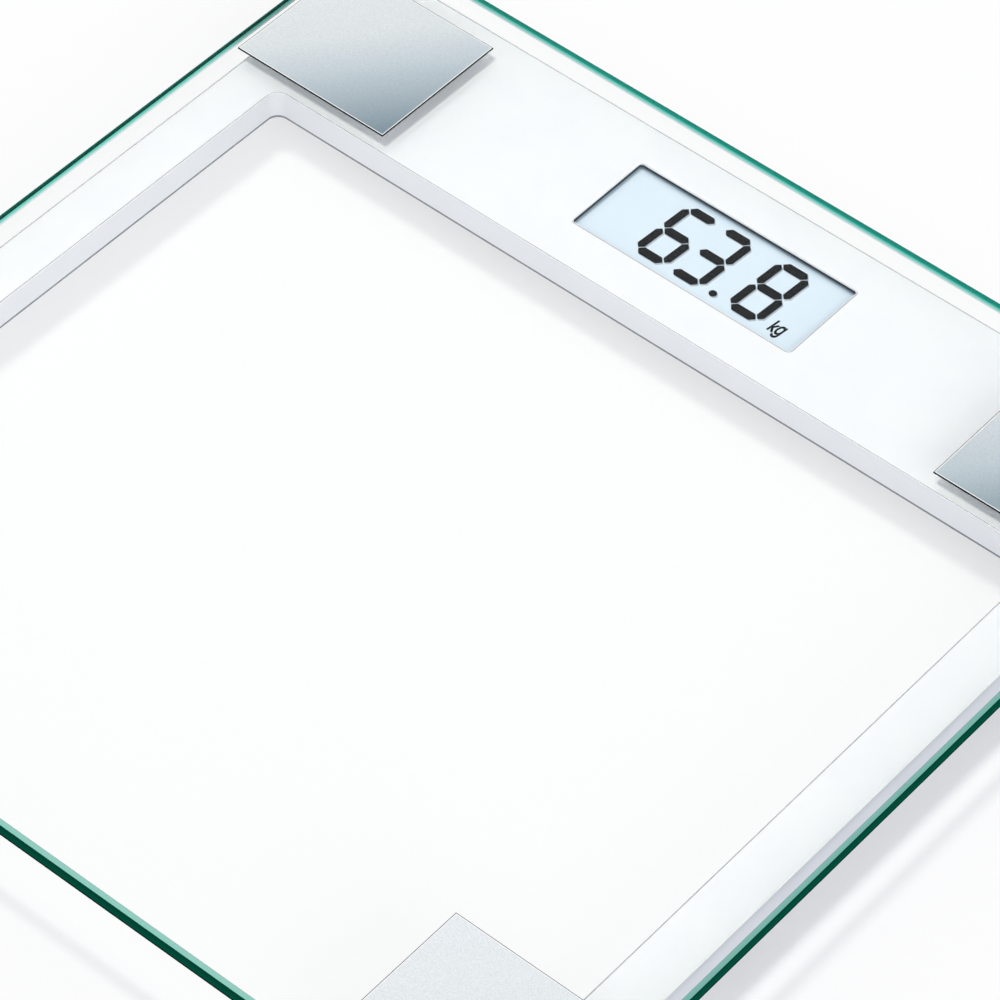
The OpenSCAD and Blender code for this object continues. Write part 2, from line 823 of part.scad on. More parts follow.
module lcd_segments() {
    color(DARK)
        translate([-window_w / 2, window_y - window_d / 2 + digit_rise, lcd_z1])
            linear_extrude(segment_t) {
                for (i = [0 : len(LIT) - 1], name = LIT[i])
                    translate([DIGIT_STARTS[i], 0]) polygon(leaned(segment_outline(name)));
                translate([point_u, level_w / 2]) circle(point_r);
            }
}

module light_guide() {
    color([0.95, 0.97, 1])
        translate([0, window_y, guide_z0])
            linear_extrude(guide_t) square([guide_w, lcd_d], center = true);
}

module backlight_leds() {
    led = guide_ledge / 2;
    color([1, 0.95, 0.6])
        for (y = [-lcd_d / 4, lcd_d / 4])
            translate([guide_w / 2, window_y + y - led, guide_z0]) cube([led, 2 * led, led]);
}

function ear_places() = [for (x = [-ear_x, ear_x], y = [-ear_pitch, ear_pitch]) [x, window_y + y]];

module lcd_holder() {
    color([0.82, 0.84, 0.86])
        difference() {
            union() {
                translate([0, window_y, holder_z0])
                    linear_extrude(ceiling_z - holder_z0) square([holder_w, holder_d], center = true);
                for (place = ear_places()) {
                    rod(place.x, place.y, ear_z0, ear_z1, ear_r);
                    inward = place.x > 0 ? -ear_r - holder_wall / 2 : 0;
                    box_between([place.x + inward, place.y - ear_r, ear_z0],
                                [place.x + inward + ear_r + holder_wall / 2, place.y + ear_r, ear_z1]);
                }
            }
            translate([0, window_y, guide_z0])
                linear_extrude(ceiling_z) square([holder_in_w, holder_in_d], center = true);
            for (place = ear_places())
                rod(place.x, place.y, ear_z0 - past, ear_z1 + past, small_screw_r + hole_gap);
            box_between([-holder_w / 2 - past, window_y - flex_d / 2 - lcd_gap, lcd_z0 - 2 * flex_t],
                        [-holder_in_w / 2 + past, window_y + flex_d / 2 + lcd_gap, ceiling_z + past]);
        }
}

module holder_screws() {
    color(STEEL)
        for (place = ear_places())
            screw(place.x, place.y, ear_z0, small_head_r, small_head_h, small_screw_r,
                  holder_wall + small_bite);
}

module lcd_flex() {
    color(COPPER)
        box_between([board_x1, window_y - flex_d / 2, lcd_z0 - flex_t],
                    [guide_ledge / 2 - lcd_w / 2, window_y + flex_d / 2, lcd_z0]);
}

// Electronics

function board_holes() = [
    for (x = [board_x0 + board_hole, board_x1 - board_hole], side = [-1, 1])
        [x, back_mid_y + side * (board_d / 2 - board_hole)]
];

module main_board() {
    color([0.10, 0.45, 0.25])
        difference() {
            slab(board_z0, board_z1)
                translate([board_x, back_mid_y]) square([board_w, board_d], center = true);
            for (place = board_holes())
                rod(place.x, place.y, board_z0 - past, board_z1 + past, small_screw_r + hole_gap);
        }
}

module board_screws() {
    color(STEEL)
        for (place = board_holes())
            screw(place.x, place.y, board_z0, small_head_r, small_head_h, small_screw_r,
                  board_t + small_bite);
}

module controller_chip() {
    color(DARK)
        translate([board_x, back_mid_y + board_d / 4, board_z0 - chip_h / 2])
            cube([chip_side, chip_side, chip_h], center = true);
}

// Capacitors in a row and a crystal can, on the underside of the board
module board_parts() {
    part_w = chip_h;
    color([0.75, 0.65, 0.45])
        for (i = [-2 : 2])
            translate([board_x + i * 3 * part_w, back_mid_y - board_d / 4, board_z0 - part_w / 2])
                cube([part_w, 2 * part_w, part_w], center = true);
    color(STEEL)
        translate([board_x0 + board_hole + chip_h, back_mid_y, board_z0 - part_w / 2])
            cube([2 * part_w, 5 * part_w, part_w], center = true);
}

module unit_switch() {
    color([0.75, 0.76, 0.78])
        difference() {
            translate([board_x, back_mid_y, switch_z0 + switch_h / 2])
                cube([switch_side, switch_side, switch_h], center = true);
            rod(board_x, back_mid_y, switch_z0 - past, board_z0 - hole_gap, plunger_r + hole_gap);
        }
}

module switch_plunger() {
    color(DARK) rod(board_x, back_mid_y, plunger_z0, plunger_z1, plunger_r);
}

module unit_button() {
    color([0.60, 0.63, 0.66])
        translate([board_x, back_mid_y, 0]) {
            rod(0, 0, button_face_z, button_flange_z1, button_r);
            rod(0, 0, button_flange_z0, button_flange_z1, button_flange_r);
        }
}

// Battery

module battery_door() {
    pins_l = 2 * (bay_half_w + door_pin_l - door_gap);
    groove = door_t / 2;
    color(WHITE)
        difference() {
            union() {
                box_between([bay_x - door_half_w, door_y0, frame_z0],
                            [bay_x + door_half_w, door_axis_y, door_z1]);
                translate([bay_x, door_axis_y, door_axis_z])
                    rotate([0, 90, 0]) {
                        cylinder(h = 2 * door_half_w, r = door_nose_r, center = true);
                        cylinder(h = pins_l, r = door_pin_r, center = true);
                    }
            }
            for (i = [-2 : 2])
                translate([bay_x + i * 4 * groove, 0, 0])
                    box_between([-groove, door_y0 + notch_d, frame_z0 - past],
                                [groove, door_y0 + 3 * notch_d, frame_z0 + groove / 2]);
        }
}

module coin_cell() {
    rim = coin_gap;
    color(STEEL)
        translate([bay_x, bay_y, 0]) {
            rod(0, 0, coin_z0, coin_z1 - rim, coin_r);
            rod(0, 0, coin_z0, coin_z1, coin_r - 3 * rim);
        }
}

// Strip beside the cell, with a tab at its end for the lead
module contact_positive() {
    x1 = bay_x - coin_r - hole_gap;
    x0 = x1 - contact_t;
    y0 = bay_y - contact_w / 2;
    y1 = bay_y + contact_w / 2;
    color(COPPER) {
        box_between([x0, y0, coin_z0 + hole_gap], [x1, y1, positive_z]);
        box_between([tab_x, y0, positive_z - contact_t], [x1, y1, positive_z]);
        box_between([tab_x, y0, positive_z - contact_t], [tab_x + contact_t, y1, lead_z0 + lead_t]);
    }
}

// Leaf over the cell
module contact_negative() {
    color(COPPER)
        box_between([tab_x, leaf_y - contact_w / 2, leaf_z1 - contact_t],
                    [bay_x - hole_gap, leaf_y + contact_w / 2, leaf_z1]);
}

module battery_lead() {
    x = tab_x - battery_lead_w / 2;
    route = [[x, leaf_y + contact_w / 2], [x, battery_lead_y], [board_x1, battery_lead_y]];
    color([0.15, 0.15, 0.15])
        slab(lead_z0, lead_z0 + lead_t) ribbon(route, battery_lead_w);
}

glass_platform();
plate_films();
bond_pads();
frame_shell();
back_cover();
left_cover();
right_cover();
cover_screws();
strain_gauges();
lcd_panel();
lcd_segments();
light_guide();
backlight_leds();
lcd_holder();
holder_screws();
lcd_flex();
main_board();
controller_chip();
board_parts();
board_screws();
unit_switch();
switch_plunger();
unit_button();
battery_door();
coin_cell();
contact_positive();
contact_negative();
battery_lead();
for (corner = [0 : 3]) {
    steel_plate(corner);
    load_cell(corner);
    cell_carrier(corner);
    foot(corner);
    foot_pad(corner);
    cell_lead(corner);
}
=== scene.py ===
# %% [markdown]
# # A glass personal scale, dressed for its picture
# The solid model already has every piece at its true size and place. This lesson adds what a
# camera sees: softened edges, glass, steel grain, a lit display and studio light. The solid model
# is loaded first and is never moved, so each new piece is set against it by number, not by eye.
# Lengths are written in millimetres, and MM turns them into the metres that Blender counts in.

# %% Load the solid model
import math

import bmesh
import bpy
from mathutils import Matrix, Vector


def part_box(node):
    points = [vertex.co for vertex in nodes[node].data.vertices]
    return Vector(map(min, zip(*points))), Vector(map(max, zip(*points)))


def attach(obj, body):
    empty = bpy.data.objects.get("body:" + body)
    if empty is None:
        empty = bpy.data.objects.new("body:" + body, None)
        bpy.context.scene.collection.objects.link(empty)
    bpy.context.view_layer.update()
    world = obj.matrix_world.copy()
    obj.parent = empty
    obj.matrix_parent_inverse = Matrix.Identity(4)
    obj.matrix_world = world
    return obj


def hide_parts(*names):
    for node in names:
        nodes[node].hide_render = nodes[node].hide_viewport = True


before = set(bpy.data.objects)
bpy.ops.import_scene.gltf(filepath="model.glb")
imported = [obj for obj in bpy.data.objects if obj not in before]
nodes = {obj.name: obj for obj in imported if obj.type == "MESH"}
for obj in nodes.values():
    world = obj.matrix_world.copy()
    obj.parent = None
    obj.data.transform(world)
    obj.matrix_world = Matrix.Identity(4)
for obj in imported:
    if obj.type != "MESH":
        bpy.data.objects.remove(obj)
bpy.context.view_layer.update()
MM = 0.001
CORNERS = ("back_left", "back_right", "front_left", "front_right")

# %% [markdown]
# ## Camera
# The picture is taken from the front right, well above the glass, with a long lens that keeps
# opposite edges nearly parallel. The place and turn below put the glass edges, the frame's inner
# corner and the display where the picture has them. A wide lens could be moved close to get the
# same crop, but it would splay the edges.

# %% Camera
CAMERA_PLACE = (0.566328, -0.685690, 1.000174)
CAMERA_TURN = (42.1797, -1.5019, 40.0543)
LENS_MM = 187.476
SENSOR_MM = 36
NEAREST, FARTHEST = 0.05, 60
camera = bpy.data.objects.new("camera", bpy.data.cameras.new("camera"))
camera.location = CAMERA_PLACE
camera.rotation_euler = [math.radians(angle) for angle in CAMERA_TURN]
camera.data.lens = LENS_MM
camera.data.sensor_width = SENSOR_MM
camera.data.clip_start = NEAREST
camera.data.clip_end = FARTHEST
bpy.context.collection.objects.link(camera)
bpy.context.scene.camera = camera
print("camera lens in mm:", round(camera.data.lens, 1))

# %% [markdown]
# ## Lamps
# The picture is taken in a bright, even studio. A key lamp, high at the back left, lays the soft
# shadows on the floor. Glass bends the light that reaches the frame below it, and the plates'
# shadows there are narrower than a straight ray would lay them, so a steeper lamp of the same level
# lights the frame instead. A weak fill from the right lightens the upright walls. Suns give the
# same light at every place, so the floor stays white up to its edges, and their wide angle makes
# the shadows soft. Lamps with a falloff would need a larger room.

# %% Lamps
KEY_LEVEL = 0.33
KEY_COLOUR = (1.0, 0.985, 0.92)
FILL_LEVEL = 0.08
FILL_COLOUR = (1.0, 0.985, 0.94)


def add_sun(name, level, colour, toward, spread):
    """A wide sun that gives level surfaces this much light. Metal and glass don't mirror it."""
    sun = bpy.data.objects.new(name, bpy.data.lights.new(name, "SUN"))
    direction = Vector(toward).normalized()
    sun.data.energy = level * math.pi / direction.z
    sun.data.angle = math.radians(spread)
    sun.data.color = colour
    sun.visible_glossy = False
    sun.rotation_euler = direction.to_track_quat("Z", "Y").to_euler()
    bpy.context.collection.objects.link(sun)
    print(name, "energy:", round(sun.data.energy, 2))
    return sun


key_lamp = add_sun("key_lamp", KEY_LEVEL, KEY_COLOUR, toward=(-0.36, 0.2, 1.0), spread=11)
frame_lamp = add_sun("frame_lamp", KEY_LEVEL, KEY_COLOUR, toward=(-0.07, -0.13, 1.0), spread=7)
add_sun("fill_lamp", FILL_LEVEL, FILL_COLOUR, toward=(0.85, -0.3, 0.45), spread=40)

# %% [markdown]
# ## World
# The sky lights the scale evenly with a pale blue, and shows as plain white wherever it is seen
# itself: by the camera, in metal or through glass. One strength for both would either grey the
# background or bleach the scale. The small tools for this serve the glass and the floor as well.

# %% World
SKY_LEVEL = 0.62
SKY_COLOUR = (0.93, 0.94, 1.0, 1)
WHITE = (1, 1, 1, 1)


def larger(tree, first, second):
    """The larger of two factors."""
    either = tree.nodes.new("ShaderNodeMath")
    either.operation = "MAXIMUM"
    tree.links.new(first, either.inputs[0])
    tree.links.new(second, either.inputs[1])
    return either.outputs[0]


def choose_by(tree, factor, off, on):
    """A mix of two shaders: the first where the factor is 0, the second where it is 1."""
    mix = tree.nodes.new("ShaderNodeMixShader")
    tree.links.new(factor, mix.inputs[0])
    tree.links.new(off.outputs[0], mix.inputs[1])
    tree.links.new(on.outputs[0], mix.inputs[2])
    return mix


def seen_directly(tree):
    """A factor that is 1 for rays to the camera, off metal and through glass."""
    path = tree.nodes.new("ShaderNodeLightPath").outputs
    direct = larger(tree, path["Is Camera Ray"], path["Is Glossy Ray"])
    return larger(tree, direct, path["Is Transmission Ray"])


scene = bpy.context.scene
scene.view_settings.view_transform = "Standard"
world = bpy.data.worlds.new("studio")
scene.world = world
world.use_nodes = True
sky = world.node_tree
lit = sky.nodes["Background"]
lit.inputs["Color"].default_value = SKY_COLOUR
lit.inputs["Strength"].default_value = SKY_LEVEL
shown = sky.nodes.new("ShaderNodeBackground")
shown.inputs["Color"].default_value = WHITE
shown.inputs["Strength"].default_value = 1
sky_or_white = choose_by(sky, seen_directly(sky), lit, shown)
sky.links.new(sky_or_white.outputs[0], sky.nodes["World Output"].inputs["Surface"])
print("sky level:", SKY_LEVEL)

# %% [markdown]
# ## Tools for colour and grain
# Real surfaces are never one flat number: plastic has a fine tooled grain, metal has streaks. Each
# finish below starts from a speckle, a noise on the object's own coordinates with its size given
# in millimetres, and lets it shift the colour, the roughness and the height by small amounts.

# %% Tools for colour and grain
NOISE_SPAN = (0.3, 0.7)


def tint(red, green, blue):
    """A colour as an eye reads it on a screen, 0 to 255, turned into the shader's linear values."""
    linear = []
    for value in (red, green, blue):
        share = value / 255
        linear.append(share / 12.92 if share <= 0.04045 else ((share + 0.055) / 1.055) ** 2.4)
    return (*linear, 1)


def start_finish(name):
    """A new material, with its node tree, its shader and the object's own coordinates."""
    material = bpy.data.materials.new(name)
    material.use_nodes = True
    tree = material.node_tree
    coords = tree.nodes.new("ShaderNodeTexCoord").outputs["Object"]
    return material, tree, tree.nodes["Principled BSDF"], coords


def speckle(tree, coords, size_mm, detail=2.0, stretch=(1, 1, 1)):
    """A noise from 0 to 1 whose blobs have about this size. stretch draws it out along an axis."""
    mapping = tree.nodes.new("ShaderNodeMapping")
    mapping.inputs["Scale"].default_value = stretch
    noise = tree.nodes.new("ShaderNodeTexNoise")
    noise.inputs["Scale"].default_value = 1 / (size_mm * MM)
    noise.inputs["Detail"].default_value = detail
    tree.links.new(coords, mapping.inputs["Vector"])
    tree.links.new(mapping.outputs["Vector"], noise.inputs["Vector"])
    return noise.outputs["Fac"]


def rescale(tree, factor, span, to=(0, 1)):
    """A number that crosses the range called to as the factor crosses its span."""
    scale = tree.nodes.new("ShaderNodeMapRange")
    for socket, value in zip(("From Min", "From Max", "To Min", "To Max"), (*span, *to)):
        scale.inputs[socket].default_value = value
    tree.links.new(factor, scale.inputs["Value"])
    return scale.outputs["Result"]


def vary_gloss(tree, shader, factor, rough):
    """Lets the roughness go between two values with a speckle."""
    tree.links.new(rescale(tree, factor, NOISE_SPAN, rough), shader.inputs["Roughness"])


def raise_grain(tree, shader, factor, height_mm, strength=1.0):
    """Lifts the surface by the factor times a height."""
    bump = tree.nodes.new("ShaderNodeBump")
    bump.inputs["Strength"].default_value = strength
    bump.inputs["Distance"].default_value = height_mm * MM
    tree.links.new(factor, bump.inputs["Height"])
    tree.links.new(bump.outputs["Normal"], shader.inputs["Normal"])


print("grain tools ready")

# %% [markdown]
# ## Tools for shades
# Some colours drift: a painted reflection cools the steel across a plate, and painted light and
# shade change the glass down its edge. A drift could be painted on, but a ramp of shades along one
# axis needs no unwrapping. The same ramp, fed by a speckle, makes the cloudy colour of moulded
# plastic, which the grained finish puts together.


# %% Tools for shades
def across(tree, coords, axis, start, end):
    """A factor that goes from 0 at start to 1 at end along one axis."""
    axes = tree.nodes.new("ShaderNodeSeparateXYZ")
    tree.links.new(coords, axes.inputs[0])
    return rescale(tree, axes.outputs[axis], (start, end))


def shade_along(tree, factor, places, shades):
    """A colour that passes through several shades, each at its place of the factor."""
    ramp = tree.nodes.new("ShaderNodeValToRGB")
    stops = ramp.color_ramp.elements
    for place in places[1:-1]:
        stops.new(place)
    for stop, place, shade in zip(stops, places, shades):
        stop.position = place
        stop.color = shade
    tree.links.new(factor, ramp.inputs["Fac"])
    return ramp.outputs["Color"]


def grained(name, dark, light, rough, grain_mm, height_mm, cloud_mm=14.0, metal=0.0,
            stretch=(1, 1, 1), mirror=0.5):
    """A finish of cloudy colour with a fine grain in its gloss and height. Most pieces use it."""
    material, tree, shader, coords = start_finish(name)
    cloud = speckle(tree, coords, cloud_mm, detail=3.0)
    grain = speckle(tree, coords, grain_mm, stretch=stretch)
    colour = shade_along(tree, cloud, NOISE_SPAN, (tint(*dark), tint(*light)))
    tree.links.new(colour, shader.inputs["Base Color"])
    vary_gloss(tree, shader, grain, rough)
    raise_grain(tree, shader, grain, height_mm)
    shader.inputs["Metallic"].default_value = metal
    shader.inputs["Specular IOR Level"].default_value = mirror
    return material


print("shade tools ready")

# %% [markdown]
# ## Finishes of plastics, metals and films
# One finish is made for each material of the solid model. The white housing has a fine spark grain
# that takes its gloss off, rubber is darker and coarser, and the stamped and plated steels differ
# in streaks and in roughness. Making them in one table keeps them easy to compare.

# %% Finishes by material
finishes = {
    "white_plastic": grained("moulded_white", (246, 248, 250), (249, 251, 252),
                             rough=(0.34, 0.46), grain_mm=0.35, height_mm=0.006),
    "foot_plastic": grained("foot_white", (226, 229, 234), (234, 237, 241),
                            rough=(0.35, 0.5), grain_mm=0.4, height_mm=0.008),
    "foot_rubber": grained("soft_rubber", (52, 54, 57), (64, 66, 69),
                           rough=(0.7, 0.85), grain_mm=0.5, height_mm=0.02, cloud_mm=6.0),
    "white_foam": grained("bonding_foam", (226, 227, 226), (242, 243, 242),
                          rough=(0.8, 0.95), grain_mm=0.6, height_mm=0.08, cloud_mm=3.0),
    "adhesive": grained("adhesive_film", (206, 210, 212), (224, 227, 229),
                        rough=(0.25, 0.4), grain_mm=1.2, height_mm=0.004),
    "carrier_plastic": grained("carrier_grey", (205, 208, 212), (216, 219, 222),
                               rough=(0.4, 0.55), grain_mm=0.5, height_mm=0.01),
    "grey_plastic": grained("button_grey", (148, 153, 158), (160, 165, 170),
                            rough=(0.35, 0.5), grain_mm=0.3, height_mm=0.01, cloud_mm=5.0),
    "black_plastic": grained("chip_black", (26, 27, 29), (36, 37, 40),
                             rough=(0.45, 0.65), grain_mm=0.25, height_mm=0.01, cloud_mm=4.0),
    "component_body": grained("ceramic_tan", (126, 98, 68), (176, 148, 112),
                              rough=(0.4, 0.6), grain_mm=0.2, height_mm=0.01, cloud_mm=2.0),
    "copper_film": grained("copper_foil", (190, 122, 74), (216, 150, 98), rough=(0.25, 0.4),
                           grain_mm=0.3, height_mm=0.004, cloud_mm=5.0, metal=0.9),
    "zinc_steel": grained("zinc_plating", (176, 181, 188), (208, 212, 216), rough=(0.22, 0.4),
                          grain_mm=0.3, height_mm=0.004, cloud_mm=2.5, metal=1.0),
    "cell_steel": grained("stamped_steel", (160, 164, 168), (186, 190, 194), rough=(0.3, 0.5),
                          grain_mm=0.25, height_mm=0.006, cloud_mm=6.0, metal=1.0,
                          stretch=(1, 0.06, 1)),
    "coin_steel": grained("coin_steel", (190, 193, 196), (214, 216, 218), rough=(0.18, 0.32),
                          grain_mm=0.2, height_mm=0.003, cloud_mm=6.0, metal=1.0,
                          stretch=(0.08, 1, 1)),
    "wire_black": grained("black_sleeve", (30, 31, 33), (42, 43, 46),
                          rough=(0.4, 0.55), grain_mm=0.6, height_mm=0.01, cloud_mm=5.0),
    "wire_red": grained("red_sleeve", (168, 34, 32), (190, 46, 42),
                        rough=(0.4, 0.55), grain_mm=0.6, height_mm=0.01, cloud_mm=5.0),
    "clear_plastic": grained("milky_guide", (232, 240, 246), (242, 248, 252),
                             rough=(0.2, 0.35), grain_mm=0.8, height_mm=0.004),
    "led_plastic": grained("lamp_body", (246, 240, 206), (252, 248, 224),
                           rough=(0.3, 0.45), grain_mm=0.3, height_mm=0.004, cloud_mm=1.0),
}
print("grained finishes:", len(finishes))

# %% [markdown]
# ## Circuit board
# A board is green lacquer over copper. Square cells of a Voronoi pattern stand for the copper
# areas, which show through the lacquer as a lighter green, slightly raised. Drawn tracks would be
# sharper, but the board sits inside the housing and is only ever seen in part.

# %% Circuit board
COPPER_MM = 3.5
COPPER_EDGE = (0.32, 0.38)
OVER_COPPER, BETWEEN_COPPER = tint(38, 128, 84), tint(16, 84, 52)
board, tree, shader, coords = start_finish("board_lacquer")
areas = tree.nodes.new("ShaderNodeTexVoronoi")
areas.distance = "CHEBYCHEV"
areas.inputs["Scale"].default_value = 1 / (COPPER_MM * MM)
tree.links.new(coords, areas.inputs["Vector"])
copper = areas.outputs["Distance"]
lacquer = shade_along(tree, copper, COPPER_EDGE, (OVER_COPPER, BETWEEN_COPPER))
tree.links.new(lacquer, shader.inputs["Base Color"])
vary_gloss(tree, shader, speckle(tree, coords, size_mm=1.5), rough=(0.22, 0.34))
raise_grain(tree, shader, copper, height_mm=0.03, strength=0.5)
finishes["board_green"] = board
print("board finish made")

# %% [markdown]
# ## Satin steel of the standing plates
# The plates are blasted, not brushed: a fine even grain with no direction. Their colour is a
# painted reflection, pale at the back and bluer towards the front, where the real sheet mirrors a
# darker part of the room. A room full of cards could give that shift, but it would then change with
# each view, so the reflection is painted into the metal's colour.

# %% Satin steel
REFLECTION_LEAN = 0.42
FLECK = (0.84, 0.84, 0.84, 1)
SHADE_PLACES = (0.0, 0.42, 0.6, 1.0)
# Each plate's shades are its painted reflection, from its back left to its front right corner
PLATE_REFLECTION_SHADES = {
    "back_left": ((240, 244, 245), (232, 238, 240), (208, 219, 226), (130, 152, 164)),
    "back_right": ((236, 242, 244), (202, 214, 221), (164, 182, 190), (126, 146, 158)),
    "front_left": ((240, 244, 246), (228, 234, 238), (206, 215, 222), (150, 168, 180)),
    "front_right": ((242, 247, 251), (239, 244, 247), (230, 236, 240), (188, 198, 206)),
}


def satin_steel(name, low, high, shades):
    """Blasted steel whose painted reflection cools from its back left to its front right corner."""
    material, tree, shader, coords = start_finish(name)
    # A Mix node takes numbers in its inputs 2 and 3, and colours in 6 and 7
    sweep = tree.nodes.new("ShaderNodeMix")
    sweep.inputs["Factor"].default_value = REFLECTION_LEAN
    tree.links.new(across(tree, coords, "X", low.x, high.x), sweep.inputs[2])
    tree.links.new(across(tree, coords, "Y", high.y, low.y), sweep.inputs[3])
    base = shade_along(tree, sweep.outputs[0], SHADE_PLACES, [tint(*shade) for shade in shades])
    grain = speckle(tree, coords, size_mm=0.4, detail=3.0)
    flecked = tree.nodes.new("ShaderNodeMix")
    flecked.data_type = "RGBA"
    flecked.blend_type = "MULTIPLY"
    flecked.inputs["Factor"].default_value = 1
    tree.links.new(base, flecked.inputs[6])
    tree.links.new(shade_along(tree, grain, NOISE_SPAN, (FLECK, WHITE)), flecked.inputs[7])
    tree.links.new(flecked.outputs[2], shader.inputs["Base Color"])
    vary_gloss(tree, shader, grain, rough=(0.34, 0.46))
    raise_grain(tree, shader, grain, height_mm=0.012)
    shader.inputs["Metallic"].default_value = 1
    return material


plate_steel = {}
for corner in CORNERS:
    low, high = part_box(f"steel_plate_{corner}")
    plate_steel[corner] = satin_steel(f"satin_steel_{corner}", low, high, PLATE_REFLECTION_SHADES[corner])
print("steel finishes:", sorted(plate_steel))

# %% [markdown]
# ## Glass
# Float glass looks clear through its face and green along its edges, because the eye looks along
# the sheet there. One finish serves the two faces, which stay clear. The ground sides, the upper
# bevels and the lower bevels get greens of their own, each a ramp of shades from bottom to top. The
# green is the glass's own colour; the lighter and darker shades along and between the edges are
# painted light and shade. All let lamp light straight through as a tinted shadow, which keeps the
# floor below free of noise.
# Bent light would be truer, but it takes far more samples.

# %% Glass
BENDING = 1.5
MIRROR_TINT = (0.05, 0.05, 0.05, 1)
FACE_COLOUR = (0.996, 1.0, 0.998, 1)


def shade_rising(tree, coords, shades):
    """A colour that passes through shades, each after its height in mm above the lower face."""
    low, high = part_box("glass_platform")
    places = [height * MM / (high.z - low.z) for height, shade in shades]
    rise = across(tree, coords, "Z", low.z, high.z)
    return shade_along(tree, rise, places, [tint(*shade) for height, shade in shades])


def glass_finish(name, shades, rough, shadow, clearness=0.0, mirror=0.0, grain_mm=1.5):
    """Glass with rising shades or, where there are none, the face's colour."""
    material, tree, shader, coords = start_finish(name)
    if shades:
        tree.links.new(shade_rising(tree, coords, shades), shader.inputs["Base Color"])
    else:
        shader.inputs["Base Color"].default_value = FACE_COLOUR
    vary_gloss(tree, shader, speckle(tree, coords, grain_mm), rough)
    shader.inputs["Transmission Weight"].default_value = clearness
    shader.inputs["IOR"].default_value = BENDING
    shader.inputs["Specular IOR Level"].default_value = mirror
    shader.inputs["Specular Tint"].default_value = MIRROR_TINT
    through = tree.nodes.new("ShaderNodeBsdfTransparent")
    through.inputs["Color"].default_value = shadow
    path = tree.nodes.new("ShaderNodeLightPath").outputs
    crossing = larger(tree, path["Is Shadow Ray"], path["Is Diffuse Ray"])
    glass_or_pass = choose_by(tree, crossing, shader, through)
    tree.links.new(glass_or_pass.outputs[0], tree.nodes["Material Output"].inputs["Surface"])
    return material


print("glass tools ready")

# %% [markdown]
# ## Shades of the glass
# The eye meets each edge in its own way, and the shades paint the light and shade it sees there.
# Most sides are nearly black green, painted darker still at their foot, but the back one is seen
# through the sheet and painted bright, as if it glowed. The front and the right upper bevel are
# painted light, a painted reflection of the studio, the far ones are painted dark, and the lower
# bevels are painted pale, as seen through the whole sheet. A surface is given by its range of
# roughness and the tint of its shadow, and each shade stands after its height on the edge. One
# green for all would be simpler, and would look like painted plastic.

# %% Shades of the glass
FACE_SURFACE = ((0.0, 0.005), (0.99, 0.995, 0.993, 1))
SIDE_SURFACE = ((0.12, 0.2), (0.34, 0.41, 0.39, 1))
BEVEL_SURFACE = ((0.06, 0.14), (0.4, 0.48, 0.455, 1))
SIDE_SHADES = ((1.0, (0, 30, 22)), (1.5, (0, 32, 24)), (1.75, (8, 86, 66)), (5.0, (0, 70, 52)))
BACK_SHADES = ((1.0, (40, 186, 162)), (2.2, (22, 170, 146)), (5.0, (10, 132, 113)))
FRONT_SHADES = ((5.0, (140, 212, 194)), (5.8, (152, 210, 196)), (6.0, (150, 190, 182)))
RIGHT_SHADES = ((5.0, (120, 186, 172)), (5.8, (130, 186, 174)), (6.0, (134, 166, 164)))
FAR_SHADES = ((5.0, (6, 112, 98)), (6.0, (20, 138, 124)))
UNDER_SHADES = ((0.0, (238, 249, 247)), (0.3, (226, 250, 245)), (0.48, (150, 240, 226)),
                (0.85, (100, 226, 206)), (1.0, (44, 182, 158)))
clear_face = glass_finish("glass_face", (), *FACE_SURFACE, clearness=1.0, mirror=0.08,
                          grain_mm=40.0)
near_side = glass_finish("glass_side", SIDE_SHADES, *SIDE_SURFACE)
back_side = glass_finish("glass_side_back", BACK_SHADES, *SIDE_SURFACE)
front_bevel = glass_finish("glass_bevel_front", FRONT_SHADES, *BEVEL_SURFACE, clearness=0.1)
right_bevel = glass_finish("glass_bevel_right", RIGHT_SHADES, *BEVEL_SURFACE, clearness=0.1)
far_bevel = glass_finish("glass_bevel_far", FAR_SHADES, *BEVEL_SURFACE)
under_bevel = glass_finish("glass_bevel_under", UNDER_SHADES, *BEVEL_SURFACE, clearness=0.05)
finishes["clear_glass"] = clear_face
print("glass finishes made")

# %% [markdown]
# ## Display
# The panel is a backlit pale blue field under its own glass. A small emission carries the
# backlight, and the rest of the light comes from the room, so that the window's edge still lays a
# shadow on it. Both its colour and its emission are painted darker towards the window's edge, a
# painted shade along the rim. The lit segments are a dark slate film.

# %% Display finishes
WINDOW_HALF = (36.85 * MM, 14.8 * MM)
EDGE_SHADE = 2.6 * MM
BACKLIGHT = 0.03
FIELD_PLACES = (0.0, 0.5, 1.0)
FIELD_SHADES = (tint(219, 235, 246), tint(214, 231, 243), tint(192, 211, 223))
lcd_low, lcd_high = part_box("lcd_panel")
lcd_middle = (lcd_low + lcd_high) / 2
field, tree, shader, coords = start_finish("display_field")
centred = tree.nodes.new("ShaderNodeMapping")
centred.inputs["Location"].default_value = -lcd_middle
tree.links.new(coords, centred.inputs["Vector"])
mirrored = tree.nodes.new("ShaderNodeVectorMath")
mirrored.operation = "ABSOLUTE"
tree.links.new(centred.outputs["Vector"], mirrored.inputs[0])
